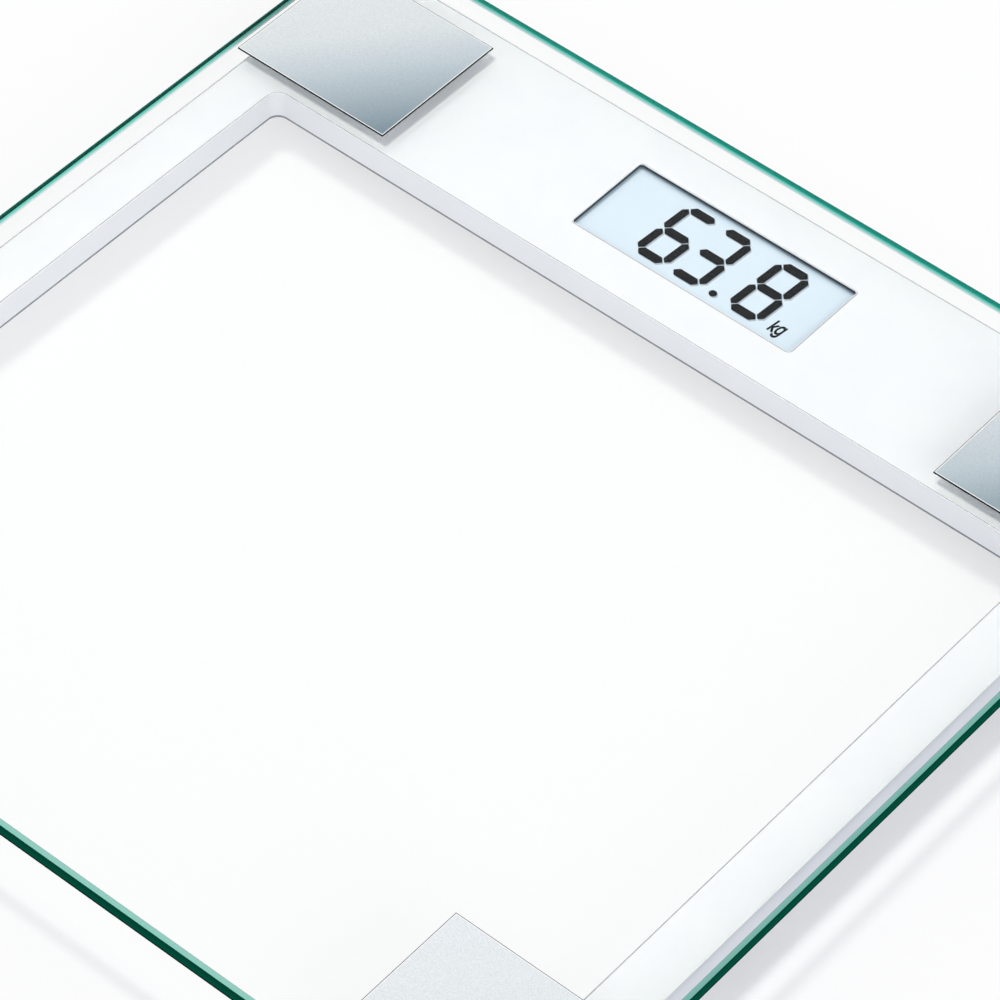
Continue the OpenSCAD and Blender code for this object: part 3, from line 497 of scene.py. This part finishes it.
# Painted shade: the field's colour and glow darken towards the window's edge
to_edges = [across(tree, mirrored.outputs["Vector"], axis, reach - EDGE_SHADE, reach)
            for axis, reach in zip("XY", WINDOW_HALF)]
field_colour = shade_along(tree, larger(tree, *to_edges), FIELD_PLACES, FIELD_SHADES)
tree.links.new(field_colour, shader.inputs["Base Color"])
tree.links.new(field_colour, shader.inputs["Emission Color"])
shader.inputs["Emission Strength"].default_value = BACKLIGHT
vary_gloss(tree, shader, speckle(tree, coords, size_mm=2.0), rough=(0.3, 0.36))
finishes["display_glass"] = field
finishes["display_ink"] = grained("segment_film", (18, 21, 24), (26, 29, 32), rough=(0.5, 0.6),
                                  grain_mm=0.4, height_mm=0.002, cloud_mm=3.0, mirror=0.0)
print("display finishes made; materials in all:", len(finishes) + 1)

# %% [markdown]
# ## Floor
# The scale stands on a white sweep. A plain plane would do, but its edge would show in low views,
# so it is made wide. Lit white paper throws a lot of light up at the walls, so for such light it is
# slightly grey. Where it is seen itself, it is white with a share of its own glow, which lifts the
# background to white and still keeps the soft shadows. The share is larger under the glass than to
# the right and in front: a painted light that lifts the shadows under the glass and leaves them
# darker to the right and in front. From below the sheet is clear, so that the feet, the covers and
# the battery door can be looked at as well.

# %% Floor
FLOOR_SIZE = 16
FLOOR_DROP = 0.02 * MM
GLOW_UNDER, GLOW_BESIDE = 0.58, 0.2
RIGHT_OF_GLASS = (138 * MM, 143 * MM)
IN_FRONT = (-147 * MM, -150 * MM)
PAPER_SHADES = (tint(242, 243, 249), tint(244, 245, 251))
bpy.ops.object.select_all(action="DESELECT")
bpy.ops.mesh.primitive_plane_add(size=FLOOR_SIZE, location=(0, 0, -FLOOR_DROP))
floor = bpy.context.object
floor.name = "floor"
paper, tree, shader, coords = start_finish("white_sweep")
grey = shade_along(tree, speckle(tree, coords, size_mm=300.0), NOISE_SPAN, PAPER_SHADES)
tree.links.new(grey, shader.inputs["Base Color"])
shader.inputs["Roughness"].default_value = 1
shader.inputs["Specular IOR Level"].default_value = 0
bright = tree.nodes.new("ShaderNodeBsdfDiffuse")
bright.inputs["Color"].default_value = WHITE
glow = tree.nodes.new("ShaderNodeEmission")
glow.inputs["Strength"].default_value = 1
# Painted light: more glow under the glass, to lift its shadows, less to the right and in front
to_right = across(tree, coords, "X", *RIGHT_OF_GLASS)
to_front = across(tree, coords, "Y", *IN_FRONT)
share = rescale(tree, larger(tree, to_right, to_front), (0, 1), to=(GLOW_UNDER, GLOW_BESIDE))
sheet = choose_by(tree, share, bright, glow)
upper = choose_by(tree, seen_directly(tree), shader, sheet)
clear = tree.nodes.new("ShaderNodeBsdfTransparent")
from_below = tree.nodes.new("ShaderNodeNewGeometry").outputs["Backfacing"]
one_sided = choose_by(tree, from_below, upper, clear)
tree.links.new(one_sided.outputs[0], tree.nodes["Material Output"].inputs["Surface"])
floor.data.materials.append(paper)
print("floor laid")

# %% [markdown]
# ## Carry the finishes over
# Every solid piece names its material, so the new finishes are put on by that name. Pieces that
# get a finer copy below are dressed too: they keep their place in the table even when hidden.

# %% Dress the solid pieces
for node in nodes.values():
    material_name = node.material_slots[0].material.name
    if material_name in finishes:
        node.material_slots[0].material = finishes[material_name]
for corner in CORNERS:
    nodes[f"steel_plate_{corner}"].material_slots[0].material = plate_steel[corner]
print("dressed:", len(nodes))

# %% [markdown]
# ## Tools for finer copies
# A finer piece starts as a copy of its solid, so its size and place are right from the start. The
# solid's loose triangles are merged into one skin, and its flat faces are joined. Modelling each
# piece anew would be free of the solid's mesh, but every size would have to be written twice.

# %% Tools for finer copies
JOIN = 0.001 * MM
TOUCH = 0.002 * MM
FLAT_ANGLE = math.radians(0.5)
LEVEL, UPRIGHT = 0.99, 0.1


def merged_copy(node, name):
    """A copy of a solid piece as one closed skin, active and in object mode."""
    bpy.ops.object.select_all(action="DESELECT")
    piece = bpy.data.objects.new(name, nodes[node].data.copy())
    piece.data.name = name
    bpy.context.collection.objects.link(piece)
    bpy.context.view_layer.objects.active = piece
    piece.select_set(True)
    bpy.ops.mesh.customdata_custom_splitnormals_clear()
    bpy.ops.object.mode_set(mode="EDIT")
    bpy.ops.mesh.select_all(action="SELECT")
    bpy.ops.mesh.remove_doubles(threshold=JOIN)
    bpy.ops.mesh.dissolve_limited(angle_limit=FLAT_ANGLE)
    bpy.ops.object.mode_set(mode="OBJECT")
    return piece


def select_parts(piece, kind, test):
    """Goes to edit mode with only those faces or edges selected that pass the test."""
    bpy.ops.object.mode_set(mode="EDIT")
    bpy.ops.mesh.select_mode(type=kind)
    bpy.ops.mesh.select_all(action="DESELECT")
    mesh = bmesh.from_edit_mesh(piece.data)
    for part in mesh.faces if kind == "FACE" else mesh.edges:
        if test(part):
            part.select_set(True)
    mesh.select_flush_mode()
    bmesh.update_edit_mesh(piece.data)


def lies_at(part, z):
    """True for a face or an edge whose points all lie at this height."""
    return all(abs(v.co.z - z) < TOUCH for v in part.verts)


def hand_over(piece, node, body):
    """The piece stands for the solid node, which is hidden, and moves with its body."""
    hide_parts(node)
    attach(piece, body)
    print(piece.name, "faces:", len(piece.data.polygons))


print("copy tools ready")

# %% [markdown]
# ## Tools for soft rims
# A moulded or ground edge is never razor sharp: it carries a thin highlight that tells the eye its
# material. The solid model leaves such roundings off, so only a copy's outward rims at a given
# height are bevelled. A Bevel modifier on all edges is quicker, but it also rounds hidden bores and
# can fold small faces. A large flat face with many holes can triangulate badly after that, so it is
# taken out and filled again from its rims.

# %% Tools for soft rims
SMOOTH_ANGLE = math.radians(35)


def is_rim(edge, z):
    """True for an outward edge at this height, between a level and an upright face."""
    if not lies_at(edge, z) or len(edge.link_faces) != 2:
        return False
    slopes = sorted(abs(face.normal.z) for face in edge.link_faces)
    return slopes[0] < UPRIGHT and slopes[1] > LEVEL and edge.is_convex


def soften(piece, heights, width_mm, steps):
    """Rounds the rims at these heights, then shades the piece smooth across its small angles."""
    select_parts(piece, "EDGE", lambda edge: any(is_rim(edge, z) for z in heights))
    bpy.ops.mesh.bevel(offset=width_mm * MM, segments=steps, affect="EDGES", clamp_overlap=True,
                       loop_slide=False)
    bpy.ops.object.mode_set(mode="OBJECT")
    bpy.ops.object.shade_smooth_by_angle(angle=SMOOTH_ANGLE)


def refill_level(piece, z):
    """Takes out the flat faces at a height and fills the gap from its rims, round every hole."""
    select_parts(piece, "FACE", lambda face: abs(face.normal.z) > LEVEL and lies_at(face, z))
    bpy.ops.mesh.delete(type="FACE")
    bpy.ops.object.mode_set(mode="OBJECT")
    select_parts(piece, "EDGE", lambda edge: edge.is_boundary and lies_at(edge, z))
    bpy.ops.mesh.fill(use_beauty=True)
    bpy.ops.mesh.select_all(action="SELECT")
    bpy.ops.mesh.normals_make_consistent(inside=False)
    bpy.ops.object.mode_set(mode="OBJECT")


print("rim tools ready")

# %% [markdown]
# ## Glass platform
# The sheet is cut, its corners are rounded on a wheel, and both edges get a ground bevel. All this
# is in the solid already, so the copy only needs the glass finishes, chosen by which way each face
# looks: level faces are clear, upright ones are sides, and what leans is upper or lower bevel.

# %% Glass platform
GLASS_FINISHES = (clear_face, near_side, under_bevel, front_bevel, right_bevel, far_bevel,
                  back_side)
FACE, SIDE, UNDER, FRONT, RIGHT, FAR, BACK = range(len(GLASS_FINISHES))
GLASS_SMOOTH = math.radians(20)
LOOKS_BACK = 0.5
LOOKS_NEAR = 0.3
TIE = 0.001


def edge_finish(normal):
    """The finish number, with its painted light or shade, for a glass face along this normal."""
    if abs(normal.z) > LEVEL:
        return FACE
    if abs(normal.z) < UPRIGHT:
        return BACK if normal.y > LOOKS_BACK else SIDE
    if normal.z < 0:
        return UNDER
    # Bevels facing the front or right get painted light, those facing away get painted shade
    if -normal.y > normal.x + TIE:
        return FRONT if -normal.y > LOOKS_NEAR else FAR
    return RIGHT if normal.x > LOOKS_NEAR else FAR


glass = merged_copy("glass_platform", "ground_glass")
glass.data.materials.clear()
for finish in GLASS_FINISHES:
    glass.data.materials.append(finish)
for face in glass.data.polygons:
    face.material_index = edge_finish(face.normal)
bpy.ops.object.shade_smooth_by_angle(angle=GLASS_SMOOTH)
hand_over(glass, "glass_platform", "frame")

# %% [markdown]
# ## Standing plates
# The plates are punched from thin sheet. Their edge is painted dark, a painted shade, and just
# inside it runs a bright line, a painted highlight. A narrow bevel breaks the edge, and two insets
# of the top face make the dark and the bright line, each with a finish of its own. A line drawn in
# the finish would need the plate's outline a second time.

# %% Standing plates
EDGE_BREAK = 0.1
DARK_LINE = 0.12
BRIGHT_LINE = 0.25
STEEL, PLATE_EDGE_SHADE, PLATE_EDGE_HIGHLIGHT = range(3)
# A painted shade for the plate's edge and a painted highlight just inside it
plate_edge_shade = grained("plate_edge_painted_shade", (18, 24, 28), (34, 40, 44), rough=(0.4, 0.6), grain_mm=0.2,
                   height_mm=0.01, cloud_mm=1.5, metal=1.0, stretch=(1, 1, 0.1))
plate_edge_highlight = grained("plate_edge_painted_highlight", (250, 252, 254), (255, 255, 255), rough=(0.2, 0.3),
                      grain_mm=0.3, height_mm=0.002, cloud_mm=1.5, metal=1.0)
for corner in CORNERS:
    node = f"steel_plate_{corner}"
    plate = merged_copy(node, f"satin_plate_{corner}")
    soften(plate, [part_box(node)[1].z], EDGE_BREAK, steps=2)
    plate.data.materials.append(plate_edge_shade)
    plate.data.materials.append(plate_edge_highlight)
    for face in plate.data.polygons:
        face.material_index = STEEL if face.normal.z < -LEVEL else PLATE_EDGE_SHADE
    select_parts(plate, "FACE", lambda face: face.normal.z > LEVEL)
    for ring_mm, inside in ((DARK_LINE, PLATE_EDGE_HIGHLIGHT), (BRIGHT_LINE, STEEL)):
        bpy.ops.mesh.inset(thickness=ring_mm * MM)
        plate.active_material_index = inside
        bpy.ops.object.material_slot_assign()
    bpy.ops.object.mode_set(mode="OBJECT")
    hand_over(plate, node, "frame")

# %% [markdown]
# ## Frame
# The white frame is an open moulding. Its rims are rounded in the mould by half a millimetre, where
# the eye meets them. A hair-thin groove runs beside the upper rim. Four insets of the top face make
# it: a land, a wall down, a floor and a wall up again. Cutting it with a Boolean would need a
# second solid that follows every rim.

# %% Frame
RIM_ROUND = 0.5
GROOVE_DEPTH = 0.12
GROOVE_STEPS = ((0.02, 0.0), (0.08, -GROOVE_DEPTH), (0.2, 0.0), (0.08, GROOVE_DEPTH))
frame_low, frame_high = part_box("frame_shell")
shell = merged_copy("frame_shell", "moulded_frame")
soften(shell, (frame_low.z, frame_high.z), RIM_ROUND, steps=3)
select_parts(shell, "FACE", lambda face: lies_at(face, frame_high.z))
for width_mm, rise_mm in GROOVE_STEPS:
    bpy.ops.mesh.inset(thickness=width_mm * MM, depth=rise_mm * MM)
bpy.ops.object.mode_set(mode="OBJECT")
print("frame with its groove, faces:", len(shell.data.polygons))

# %% [markdown]
# ## Where a face of the frame lies
# One white is not enough for a moulding. A painted shade darkens the groove and the foot of the
# walls. The rounded rims get a painted highlight, whiter than the top, with a glossier finish, and
# the drafted outer walls a painted shade, darker than the top, with a rougher finish. Which of
# these a face is follows from where it lies and how far it leans, so each test is a comparison with
# the frame's box or with the display's middle. Faces picked by hand would be lost with the next
# change of a size.

# %% Where a face of the frame lies
FOOT_BAND = 0.8
FOOT_LEAN = -0.8
GROOVE_FLOOR = (0.2 * GROOVE_DEPTH, 1.2 * GROOVE_DEPTH)
WINDOW_MARGIN = 2.2
RIGHT_RIM = 2
OUTWARD_STEP = 6
PLAIN, LINE, GLEAM, DRAFTED_AND_SHADED = range(4)


def by_window(place):
    """True for a point in or close around the display window."""
    reach = [half + WINDOW_MARGIN * MM for half in WINDOW_HALF]
    return all(abs(place[i] - lcd_middle[i]) < reach[i] for i in (0, 1))


def has_painted_shade(place):
    """True where the groove gets painted shade: not at the window's back, left or the frame's
    right.
    """
    if by_window(place):
        off = place - lcd_middle
        return off.x > WINDOW_HALF[0] or off.y < -WINDOW_HALF[1]
    return place.x < frame_high.x - RIGHT_RIM * MM


def on_outside(face):
    """True on the outer walls: a short step along the face's normal leaves the frame's box."""
    step = face.calc_center_median() + face.normal * OUTWARD_STEP * MM
    return not (frame_low.x < step.x < frame_high.x and frame_low.y < step.y < frame_high.y)


def frame_finish(face):
    """The number of the finish for a face of the frame."""
    place, lean = face.calc_center_median(), face.normal.z
    down_mm = (frame_high.z - place.z) / MM
    if place.z < frame_low.z + FOOT_BAND * MM and FOOT_LEAN < lean < UPRIGHT:
        return LINE
    if lean > LEVEL and GROOVE_FLOOR[0] < down_mm < GROOVE_FLOOR[1] and has_painted_shade(place):
        return LINE
    if UPRIGHT < lean < LEVEL and down_mm < RIM_ROUND and not by_window(place):
        return GLEAM
    return DRAFTED_AND_SHADED if abs(lean) < UPRIGHT and on_outside(face) else PLAIN


print("frame tests ready")

# %% [markdown]
# ## Finishes of the frame
# A cut just above the foot gives the band there faces of its own, and then each face is given its
# finish by the tests above. A painted mask could do the same, but it would need an unwrapped mesh.

# %% Finishes of the frame
for finish in (
        # Painted shade of the groove and the foot of the walls
        grained("rim_painted_shade", (140, 142, 148), (150, 152, 158), rough=(0.5, 0.6),
                grain_mm=0.3, height_mm=0.004, mirror=0.2),
        # Painted highlight of the rounded rims: whiter colour, with a really glossier finish
        grained("rim_gleam", (253, 254, 255), (255, 255, 255), rough=(0.12, 0.2),
                grain_mm=0.5, height_mm=0.001, mirror=1.0),
        # Painted shade of the outer walls: darker colour, with a really rougher finish
        grained("drafted_wall_painted_shade", (226, 228, 234), (231, 233, 238), rough=(0.5, 0.62),
                grain_mm=0.35, height_mm=0.012, mirror=0.3)):
    shell.data.materials.append(finish)
bpy.ops.object.mode_set(mode="EDIT")
bpy.ops.mesh.select_all(action="SELECT")
bpy.ops.mesh.bisect(plane_co=(0, 0, frame_low.z + FOOT_BAND * MM), plane_no=(0, 0, 1))
mesh = bmesh.from_edit_mesh(shell.data)
for face in mesh.faces:
    face.material_index = frame_finish(face)
bmesh.update_edit_mesh(shell.data)
bpy.ops.object.mode_set(mode="OBJECT")
bpy.ops.object.shade_smooth_by_angle(angle=SMOOTH_ANGLE)
hand_over(shell, "frame_shell", "frame")

# %% [markdown]
# ## A lamp for the frame
# Each lamp keeps a list of the pieces it lights. The steeper lamp is linked to the frame alone, and
# the key lamp to everything but the frame, so both together give one level of light everywhere.

# %% A lamp for the frame
for lamp, state in ((frame_lamp, "INCLUDE"), (key_lamp, "EXCLUDE")):
    lit_by = bpy.data.collections.new(f"lit_by_{lamp.name}")
    lit_by.objects.link(shell)
    lit_by.collection_objects[0].light_linking.link_state = state
    lamp.light_linking.receiver_collection = lit_by
    print(lamp.name, state.lower(), "frame")

# %% [markdown]
# ## Covers
# Three covers close the frame from below. Their rims are rounded less than the frame's, because
# the holes for screws and feet would grow with a wider rounding.

# %% Covers
COVER_ROUND = 0.3
for side in ("back", "left", "right"):
    node = f"{side}_cover"
    cover = merged_copy(node, f"moulded_{node}")
    soften(cover, [frame_low.z], COVER_ROUND, steps=2)
    refill_level(cover, frame_low.z)
    hand_over(cover, node, "frame")

# %% [markdown]
# ## Display window
# A dark gasket lines the window between the frame's top and the panel, and reads as a fine line
# along the two sides that face the camera. Its dark colour is a painted shade, the shade on the
# window's walls. It is cut from the frame's own skin: the window's upright faces are kept,
# everything else is deleted, and a Solidify modifier gives it its thickness. Its foot is painted
# paler, a painted light where the panel's light falls on it.

# %% Display window
GASKET_WALL = 0.15
GASKET_PLACES = (0.0, 0.45, 0.72, 1.0)
GASKET_PAINTED_SHADES = (tint(168, 190, 202), tint(96, 112, 122), tint(26, 32, 36), tint(22, 27, 30))
rim_z = frame_high.z - RIM_ROUND * MM


def outside_window(face):
    """True for every face that is not an upright wall of the display window."""
    place = face.calc_center_median()
    return not (abs(face.normal.z) < UPRIGHT and place.z > lcd_high.z and by_window(place))


gasket = merged_copy("frame_shell", "window_gasket")
select_parts(gasket, "FACE", outside_window)
bpy.ops.mesh.delete(type="FACE")
bpy.ops.object.mode_set(mode="OBJECT")
for vertex in gasket.data.vertices:
    vertex.co.z = min(vertex.co.z, rim_z)
wall = gasket.modifiers.new("wall", "SOLIDIFY")
wall.thickness = GASKET_WALL * MM
wall.offset = 1
bpy.ops.object.modifier_apply(modifier="wall")
# Painted shade and light: dark up at the frame's top, paler down at the panel
rubber, tree, shader, coords = start_finish("gasket_painted_shade")
rise = across(tree, coords, "Z", lcd_high.z, rim_z)
tree.links.new(shade_along(tree, rise, GASKET_PLACES, GASKET_PAINTED_SHADES), shader.inputs["Base Color"])
vary_gloss(tree, shader, speckle(tree, coords, size_mm=0.3), rough=(0.55, 0.7))
shader.inputs["Specular IOR Level"].default_value = 0.1
gasket.data.materials.clear()
gasket.data.materials.append(rubber)
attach(gasket, "frame")
print("gasket faces:", len(gasket.data.polygons))

# %% [markdown]
# ## Shadow under the segments
# In a liquid crystal display the dark segments float above a reflector, and each lays a soft grey
# twin on it, shifted away from the lamp. The twin is the segments' own top faces, laid on the panel
# with an outset ring around them. An attribute tells the two apart: it is 1 on the points of the
# segments and 0 on the ring's outer points. A Solidify modifier closes the sheet.

# %% Shadow under the segments
SHADOW_SHIFT = (0.55 * MM, -0.3 * MM)
SHADOW_RING = 0.5
SHADOW_LIFT = 0.02
SHADOW_FILM = 0.01


def place_key(vertex):
    """A point's place in whole micrometres, to find the same point in another mesh."""
    return tuple(round(c / MM, 3) for c in vertex.co)


twin = merged_copy("lcd_segments", "segment_shadow")
select_parts(twin, "FACE", lambda face: face.normal.z < LEVEL)
bpy.ops.mesh.delete(type="FACE")
bpy.ops.mesh.select_all(action="SELECT")
bpy.ops.mesh.inset(thickness=SHADOW_RING * MM, use_outset=True, use_individual=False)
bpy.ops.object.mode_set(mode="OBJECT")
inner = {place_key(vertex) for vertex in nodes["lcd_segments"].data.vertices}
cover_values = twin.data.attributes.new(name="cover", type="FLOAT", domain="POINT").data
for vertex, cover in zip(twin.data.vertices, cover_values):
    cover.value = 1 if place_key(vertex) in inner else 0
    vertex.co.x += SHADOW_SHIFT[0]
    vertex.co.y += SHADOW_SHIFT[1]
    vertex.co.z = lcd_high.z + SHADOW_LIFT * MM
film = twin.modifiers.new("film", "SOLIDIFY")
film.thickness = SHADOW_FILM * MM
bpy.ops.object.modifier_apply(modifier="film")
print("shadow faces:", len(twin.data.polygons))

# %% [markdown]
# ## Finish of the segments' shadow
# The finish turns the attribute into a cover that fades from the segments outwards. Light crosses
# the closed sheet twice, so the cover counts twice. A blurred image would fade as well, but it
# would be a picture, and not follow the segments when they change.

# %% Finish of the segments' shadow
SHADOW_COVER = 0.16
DUSK_SHADES = (tint(96, 112, 124), tint(104, 120, 132))
dusk, tree, shader, coords = start_finish("segment_dusk")
cover = tree.nodes.new("ShaderNodeAttribute")
cover.attribute_name = "cover"
fade = rescale(tree, cover.outputs["Fac"], (0, 1), to=(0, SHADOW_COVER))
tree.links.new(fade, shader.inputs["Alpha"])
dusk_colour = shade_along(tree, speckle(tree, coords, size_mm=2.0), NOISE_SPAN, DUSK_SHADES)
tree.links.new(dusk_colour, shader.inputs["Base Color"])
shader.inputs["Roughness"].default_value = 0.6
twin.data.materials.clear()
twin.data.materials.append(dusk)
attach(twin, "frame")
print("shadow cover:", SHADOW_COVER)

# %% [markdown]
# ## Unit letters
# The unit stands in the display's lower corner, after the number. A text object gives the letter
# shapes, a shear slants them as the digits slant, and the result becomes a thin mesh on the panel.
# Letters drawn by hand as faces would match a special typeface better, but take far longer.

# %% Unit letters
LETTER_SIZE = 6.5
LETTER_NARROWING = 0.62
LETTER_SLANT = 0.2
LETTER_BOLD = 0.17
LETTER_HALF_FILM = 0.03
LETTER_LIFT = 0.05
LETTER_STEPS = 6
LETTER_PLACE = (28.25 * MM, 107.7 * MM)
bpy.ops.object.select_all(action="DESELECT")
bpy.ops.object.text_add(location=(0, 0, 0))
letters = bpy.context.object
letters.name = "unit_letters"
letters.data.body = "k\u0261"
letters.data.size = LETTER_SIZE * MM
letters.data.shear = LETTER_SLANT
letters.data.offset = LETTER_BOLD * MM
letters.data.extrude = LETTER_HALF_FILM * MM
letters.data.resolution_u = LETTER_STEPS
letters.data.align_x = "CENTER"
letters.data.align_y = "CENTER"
bpy.ops.object.convert(target="MESH")
letters = bpy.context.object
letters.scale.x = LETTER_NARROWING
letters.location = (*LETTER_PLACE, lcd_high.z + LETTER_LIFT * MM)
bpy.ops.object.transform_apply(location=True, rotation=True, scale=True)
bpy.ops.object.mode_set(mode="EDIT")
bpy.ops.mesh.select_all(action="SELECT")
bpy.ops.mesh.remove_doubles(threshold=JOIN)
bpy.ops.object.mode_set(mode="OBJECT")
letters.data.materials.clear()
letters.data.materials.append(finishes["display_ink"])
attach(letters, "frame")
print("letters in mm:", [round(d / MM, 2) for d in letters.dimensions])

# %% [markdown]
# ## Rubber pad
# The pad under a foot is modelled from a disc: its floor side is inset and extruded in turn, which
# leaves rings that grip, as a lathe would cut them. Spinning a profile would give the same rings,
# but the insets follow from the disc's own face. The pad is made once, at the middle of the scale.

# %% Rubber pad
PAD_POINTS = 96
PAD_ROUND = 0.5
RING_DEPTH = 0.5
RINGS = ((1.6, 0.9), (2.0, 0.9), (2.0, 0.9))
pad_low, pad_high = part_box("foot_pad_back_left")
bpy.ops.object.select_all(action="DESELECT")
bpy.ops.mesh.primitive_cylinder_add(vertices=PAD_POINTS, radius=(pad_high.x - pad_low.x) / 2,
                                    depth=pad_high.z - pad_low.z,
                                    location=(0, 0, (pad_low.z + pad_high.z) / 2))
pad = bpy.context.object
bpy.ops.object.transform_apply(location=True, rotation=True, scale=True)
select_parts(pad, "EDGE", lambda edge: lies_at(edge, pad_low.z))
bpy.ops.mesh.bevel(offset=PAD_ROUND * MM, segments=3, affect="EDGES")
bpy.ops.object.mode_set(mode="OBJECT")
select_parts(pad, "FACE", lambda face: face.normal.z < -LEVEL)
for land_mm, groove_mm in RINGS:
    for width_mm, rise_mm in ((land_mm, RING_DEPTH), (groove_mm, -RING_DEPTH)):
        bpy.ops.mesh.inset(thickness=width_mm * MM)
        bpy.ops.mesh.extrude_region_move(TRANSFORM_OT_translate={"value": (0, 0, rise_mm * MM)})
bpy.ops.object.mode_set(mode="OBJECT")
bpy.ops.object.shade_smooth_by_angle(angle=SMOOTH_ANGLE)
pad.data.materials.append(finishes["foot_rubber"])
pad_mesh = pad.data
bpy.data.objects.remove(pad)
print("pad faces:", len(pad_mesh.polygons))

# %% [markdown]
# ## Feet
# Each foot is a turned plastic cup with a rubber pad in it. The cup's rim is rounded on a copy of
# its solid, and a copy of the pad is set into each cup. Both move with the foot when it is pressed.

# %% Feet
CUP_ROUND = 0.4
for corner in CORNERS:
    body = f"foot_{corner}"
    cup = merged_copy(body, f"turned_cup_{corner}")
    soften(cup, [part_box(body)[0].z], CUP_ROUND, steps=3)
    hand_over(cup, body, body)
    low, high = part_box(f"foot_pad_{corner}")
    ringed = bpy.data.objects.new(f"ringed_pad_{corner}", pad_mesh.copy())
    bpy.context.collection.objects.link(ringed)
    for vertex in ringed.data.vertices:
        vertex.co.x += (low.x + high.x) / 2
        vertex.co.y += (low.y + high.y) / 2
    hand_over(ringed, f"foot_pad_{corner}", body)

# %% [markdown]
# ## Unit button and battery door
# Both are found by a fingertip, so their shapes matter more than their colour. The button's face is
# inset and pushed in to a shallow dish. The door keeps its ribs from the solid and gets a soft rim,
# so that its gap in the cover shows as a clean line.

# %% Unit button and battery door
BUTTON_ROUND = 0.35
BUTTON_LAND = 1.0
DISH_SLOPE, DISH_DEPTH = 0.8, 0.25
DOOR_ROUND = 0.2
button_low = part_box("unit_button")[0]
button = merged_copy("unit_button", "dished_button")
soften(button, [button_low.z], BUTTON_ROUND, steps=3)
select_parts(button, "FACE", lambda face: face.normal.z < -LEVEL and lies_at(face, button_low.z))
bpy.ops.mesh.inset(thickness=BUTTON_LAND * MM)
bpy.ops.mesh.inset(thickness=DISH_SLOPE * MM, depth=-DISH_DEPTH * MM)
bpy.ops.object.mode_set(mode="OBJECT")
bpy.ops.object.shade_smooth_by_angle(angle=SMOOTH_ANGLE)
hand_over(button, "unit_button", "unit_button")

door_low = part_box("battery_door")[0]
door = merged_copy("battery_door", "ribbed_door")
soften(door, [door_low.z], DOOR_ROUND, steps=2)
hand_over(door, "battery_door", "battery_door")
